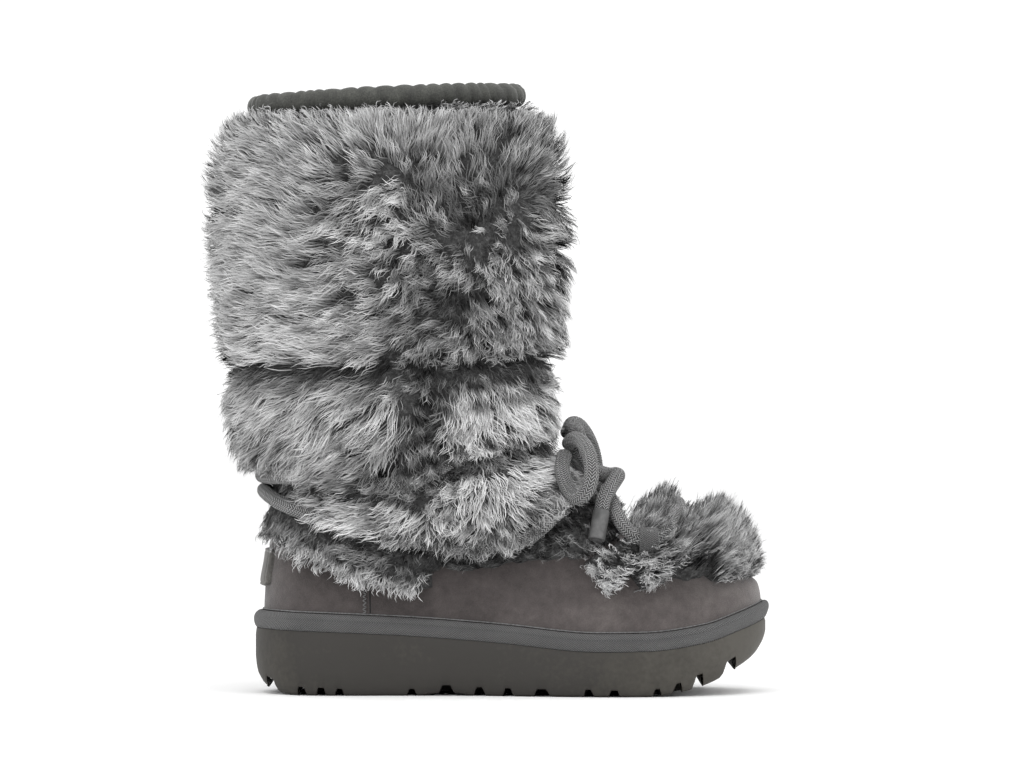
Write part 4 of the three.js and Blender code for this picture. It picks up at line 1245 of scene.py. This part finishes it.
def locks(level, angle, lie, depth, local, steps):
    """The middle line of each lock of wool from its root, with its normals, curl and tone."""
    root = read_grid(HIDE, level, angle)
    cosine, sine, curl, tone, lay = combed(COMB[lie["comb"]], root[:, 0], root[:, 2])
    column = column_of(angle)
    bottom = hem_height(lie["hem"], root) if lie["hem"] else lie["bottom"][column]
    above, below = lie["top"][column] - root[:, 2], root[:, 2] - bottom
    tucked, parted = ease(0, lie["tuck"], above), hollow(root)
    root_depth = read_grid(depth, level, angle) * (0.72 + 0.28 * tucked) * (1 - 0.45 * parted)
    # Painted shadow and shade: the tone darkens just under the tier above and in the partings.
    tone = tone * (0.36 + 0.64 * tucked) * (1 - 0.75 * parted)
    n = len(level)
    turn = np.radians(10 + 30 * curl) * drift(5, root, 16) + np.radians(16) * drift(6, root, 7)
    turn = turn + np.radians(4 + 30 * curl**2) * local.normal(0, 1, n)
    cosine, sine = cosine * np.cos(turn) - sine * np.sin(turn), sine * np.cos(turn) + cosine * np.sin(turn)
    heading = np.stack([cosine, np.zeros(n), sine], axis=1)
    run = lie["length"] * local.uniform(0.8, 1.15, n) * (0.5 + 0.5 * np.clip(root_depth / 18, 0, 1))
    run = run * (1 - 0.3 * curl) * lay
    up_room = np.maximum(RIM_HEIGHT - root[:, 2], 1) / np.maximum(run * sine, 1)
    down_room = np.maximum(below + local.uniform(0, 4, n), 1) / np.maximum(-run * sine, 1)
    run = run * np.clip(np.where(sine > 0, up_room, down_room), 0.25, 1)
    high = root_depth * local.uniform(0.86, 1.06, n) * (0.86 + 0.2 * np.clip(tone / 0.6, 0, 1)) + 0.5
    over = read_grid(COVER, level, angle) * (lie["comb"] != "vamp")
    low = np.where(over > 10, np.maximum(root_depth * lie["low"], 0.9 * over), root_depth * lie["low"])
    high = np.maximum(high, low + 1)
    points, normals = [], []
    v, a = level.copy(), angle.copy()
    for step in range(steps + 1):
        t = step / steps
        normal = read_grid(NORMAL, v, a)
        points.append(read_grid(HIDE, v, a) + normal * (low + (high - low) * (1 - (1 - t) ** 1.8))[:, None])
        normals.append(normal)
        along = heading - normal * np.sum(heading * normal, axis=1, keepdims=True)
        move = along * (run / steps)[:, None]
        up, round_ = read_grid(UP_STEP, v, a), read_grid(ROUND_STEP, v, a)
        uu, rr, ur = (np.sum(p * q, axis=1) for p, q in ((up, up), (round_, round_), (up, round_)))
        mu, mr = np.sum(move * up, axis=1), np.sum(move * round_, axis=1)
        det = uu * rr - ur**2 + 1e-9
        v = np.clip(v + (mu * rr - mr * ur) / det, 0, TOP)
        a = a + (mr * uu - mu * ur) / det
    return np.stack(points, 1), np.stack(normals, 1), curl, tone


def along_lines(lines, at):
    """Points of each polyline at shares of its length, row by row."""
    place = np.clip(at * (lines.shape[1] - 1), 0, lines.shape[1] - 1.001)
    i = place.astype(int)
    rows = np.arange(len(lines))[:, None]
    t = (place - i)[..., None]
    return lines[rows, i] * (1 - t) + lines[rows, i + 1] * t


def strands(level, angle, lie, depth, local, t):
    """The middle line and normals of each strand, its lock's number, and each lock's root, curl and tone."""
    line, normal, lock_curl, tone = locks(level, angle, lie, depth, local, t.shape[1])
    root = line[:, 0]
    pick = np.repeat(np.arange(len(level)), lie["strands"])
    n = len(pick)
    reach = local.uniform(0.6, 1.0, (n, 1))
    line, normal = along_lines(line[pick], t * reach), unit(along_lines(normal[pick], t * reach))
    curl = lock_curl[pick][:, None]
    across = unit(np.cross(np.gradient(line, axis=1), normal))
    fan = local.normal(0, 1, (n, 3)) * lie["spread"] * (1.35 - 0.6 * curl)
    close = 1 - (0.1 + 0.6 * curl) * t**1.2
    ahead = unit(np.gradient(line, axis=1))
    line = line + across * (fan[:, :1] * close)[..., None] + normal * (0.4 * fan[:, 1:2] * close)[..., None]
    line = line + ahead * (fan[:, 2:] * (1 - 0.5 * t))[..., None]
    line = line + across * (local.normal(0, 0.07, (n, 1)) * lie["length"] * t**1.5)[..., None]
    shared = 5.5 * drift(7, root, 11) + local.normal(0, 1, len(level)) * 0.5
    phase = (shared[pick] + 2 * local.normal(0, 0.12, n))[:, None] + 5 * curl * local.normal(0, 0.25, (n, 1))
    phase = phase + TAU * (0.85 + 0.35 * curl) * t
    sway = (1.0 + 1.7 * curl**1.3) * t**0.8 * local.uniform(0.7, 1.2, (n, 1))
    curls = across * (sway * np.sin(phase))[..., None], normal * (0.5 * sway * np.cos(phase))[..., None]
    line = line + curls[0] + curls[1]
    line = line + local.normal(0, 0.1, line.shape) * t[..., None]
    return line, normal, pick, root, lock_curl, tone


def on_ribbons(values):
    """A value for each point of the ribbons, from one for each point of their lines."""
    return np.concatenate([np.repeat(values[:, :-1], 2, axis=1), values[:, -1:]], axis=1)


def ribbons(line, normal, width, local, t):
    """Points, faces and outward directions of a tapered ribbon along each line, which ends in a point."""
    n, steps = len(line), t.shape[1] - 1
    flat = unit(np.cross(np.gradient(line, axis=1), normal))
    roll = local.normal(0, 0.35, (n, 1, 1))
    flat = flat * np.cos(roll) + normal * np.sin(roll)
    half = width / 2 * local.uniform(0.6, 1.25, (n, 1)) * (1 - 0.8 * t**2.5)
    left, right = line - flat * half[..., None], line + flat * half[..., None]
    points = np.stack([left[:, :-1], right[:, :-1]], axis=2).reshape(n, -1, 3)
    points = np.concatenate([points, line[:, -1:]], axis=1)
    face = unit(np.cross(np.gradient(line, axis=1), flat))
    face *= np.sign(np.sum(face * normal, axis=-1, keepdims=True))
    outward = on_ribbons(unit(0.7 * normal + 0.5 * face))
    base = (np.arange(n) * (2 * steps + 1))[:, None]
    k = np.arange(steps - 1) * 2
    quads = np.stack([base + k, base + k + 1, base + k + 3, base + k + 2], axis=-1).reshape(-1, 4)
    tips = base + 2 * steps + np.array([-2, -1, 0])
    return points.reshape(-1, 3), [quads, tips], outward.reshape(-1, 3)


def wool(level, angle, lie, depth, local, steps=4):
    """Ribbons for every strand: points, faces, and each point's shade and outward direction."""
    t = np.linspace(0, 1, steps + 1)[None]
    line, normal, pick, root, lock_curl, tone = strands(level, angle, lie, depth, local, t)
    points, faces, outward = ribbons(line, normal, lie["width"], local, t)
    streak = (0.06 + 0.25 * lock_curl) * drift(8, root, 7)
    streak = streak + (0.04 + 0.22 * lock_curl) * local.normal(0, 1, len(level))
    curl = lock_curl[pick][:, None]
    # Roots darker and tips lighter: the frosted wool's own colour, with painted shade deepening the roots,
    # more so the curlier the wool.
    dark_root, bright_tip = 0.74 - 0.75 * curl, 1.03 + 0.62 * curl
    shade = tone[pick][:, None] * (1 + streak[pick][:, None])
    shade = shade * (dark_root + (bright_tip - dark_root) * t**0.8)
    shade = shade + 0.04 * local.normal(0, 1, (len(pick), 1))
    # Painted highlights and shade along the crimp of the hair, in patches a few millimetres wide.
    shade = shade + (0.05 + 0.2 * curl) * drift(10, line, 3.2)
    return points, faces, np.clip(on_ribbons(shade), 0, 0.93).ravel(), outward


def wool_material():
    n = Nodes("wool", roughness=0.9, Specular_IOR_Level=0.0)
    shade = n.add("ShaderNodeAttribute", {"attribute_name": "shade"}).outputs["Fac"]
    n.shades(shade, (0.0, grey(20)), (0.25, grey(64)), (0.5, grey(126)), (0.75, grey(190)), (1.0, grey(236)))
    outward = n.add("ShaderNodeAttribute", {"attribute_name": "outward"}).outputs["Vector"]
    n.feed(n.bsdf.inputs["Normal"], outward)
    return n.material


WOOL = wool_material()
WOOL_PIECES = [  # piece, comb, from fold, to fold, hang, tuck at the top (wool sunk and painted darker there, as shadow under the tier above), locks, a strand's length and width
    ("cuff_low", "cuff", "seam", "cuff", 2, 0.1, 2000, 21, 0.5),
    ("cuff_high", "cuff", "cuff", "rim", 90, 0.1, 2000, 21, 0.5),
    ("calf", "calf", "upper lace", "seam", 3, 12, 1650, 22, 0.52),
    ("middle", "middle", "lower lace", "upper lace", 3, 12, 1150, 20, 0.5),
    ("ankle", "ankle", "hem", "lower lace", 0, 12, 1100, 15, 0.5),
]
VAMP_LOCKS = 1960


def build_wool():
    for i, (name, comb, low, high, hang, tuck, count, length, width) in enumerate(WOOL_PIECES):
        local = np.random.default_rng(100 + i)
        sides = flank_window(178 if comb == "calf" else 150)
        bottom = round_leg(FOLDS[low][0]) - hang * sides + 4 * (1 - sides)
        lie = dict(comb=comb, top=round_leg(FOLDS[high][0]), bottom=bottom, tuck=tuck, length=length, low=0.5,
                   strands=12, spread=1.7, width=width, hem=ANKLE_HEM if low == "hem" else None)
        level, angle = scatter(count, FOLD_LEVEL[low], FOLD_LEVEL[high], FLEECE, local)
        depth = ANKLE_DEPTH if comb == "ankle" else OVERHANG
        build_wool_piece(f"wool_{name}", level, angle, lie, depth, "shaft", local)
    local = np.random.default_rng(200)
    inside = DEGREES > VAMP_FLANK
    low, high = np.where(inside, VAMP_EDGES[0], TOP + 1), np.where(inside, VAMP_EDGES[1], -1)
    level, angle = scatter(VAMP_LOCKS, low, high, VAMP_FLEECE, local)
    lie = dict(comb="vamp", top=round_leg(FOLDS["hem"][0]) + 6, tuck=5, length=14, low=0.35, strands=11,
               spread=1.9, width=0.37, hem=VAMP_HEM)
    build_wool_piece("wool_vamp", level, angle, lie, vamp_cover(), "vamp_fur", local)


def build_wool_piece(name, level, angle, lie, depth, node, local):
    if lie["hem"]:
        root = read_grid(HIDE, level, angle)
        keep = root[:, 2] > hem_height(lie["hem"], root) + 0.5
        level, angle = level[keep], angle[keep]
    points, faces, shades, outward = wool(level, angle, lie, depth, local)
    make_piece(name, points, faces, WOOL, node, "fur", shades=shades, outward=outward)


def undercoat_material():
    n = Nodes("undercoat", roughness=1.0)
    clouds = n.noise(420, 5, 0.65)
    n.shades(clouds, (0.3, grey(34)), (0.55, grey(72)), (0.75, grey(112)))
    n.bump(clouds, 0.004, 1.0)
    return n.material


UNDERCOAT = undercoat_material()


UNDER_SHARE = {"shaft": 0.64, "vamp_fur": 0.62}  # how deep the undercoat is in the fleece
COAT_EDGE = 0.4
SUNK = -2  # where the suede is bare


def coat_grid(low, high, angle, rows):
    """Levels and angles of an undercoat's lattice between two edges, and the last's points there."""
    column = column_of(angle)
    level = low[column] + (high - low)[column] * np.linspace(0, 1, rows)[:, None]
    angle = np.broadcast_to(angle, level.shape)
    return level, angle, read_grid(HIDE, level, angle)


def build_coat(node, level, angle, base, depth, hem, closed):
    depth = np.where(base[..., 2] < hem_height(hem, base), SUNK, depth)
    points = base + read_grid(NORMAL, level, angle) * depth[..., None]
    make_sheet(f"undercoat_{node.split('_')[0]}", points, UNDERCOAT, node, "fur", wrap_cols=closed)


def build_shaft_coat():
    angle = A_GRID[np.arange(160) * A_COUNT // 160]
    level, angle, base = coat_grid(FOLD_LEVEL["hem"], FOLD_LEVEL["rim"], angle, 84)
    seam = np.exp(-(((base[..., 2] - round_leg(FOLDS["seam"][0])[column_of(angle[0])]) / 5) ** 2))
    depth = read_grid(FLEECE, level, angle) * UNDER_SHARE["shaft"]
    depth = depth * (1 - 0.3 * seam) * (1 - 0.5 * hollow(base))
    depth = depth + 0.9 * drift(9, base, 9) * np.clip(depth / 8, 0, 1)
    depth = np.maximum(depth, COAT_EDGE)
    depth[0] = COAT_EDGE
    depth[-1] = -3
    build_coat("shaft", level, angle, base, depth, ANKLE_HEM, True)


def build_vamp_coat():
    start = math.radians(VAMP_FLANK)
    level, angle, base = coat_grid(*VAMP_EDGES, np.linspace(start, TAU - start, 70), 36)
    depth = read_grid(VAMP_FLEECE, level, angle) * UNDER_SHARE["vamp_fur"]
    depth[[0, -1]] = COAT_EDGE
    depth[:, [0, -1]] = COAT_EDGE
    build_coat("vamp_fur", level, angle, base, depth, VAMP_HEM, False)


build_shaft_coat()
build_vamp_coat()
build_wool()
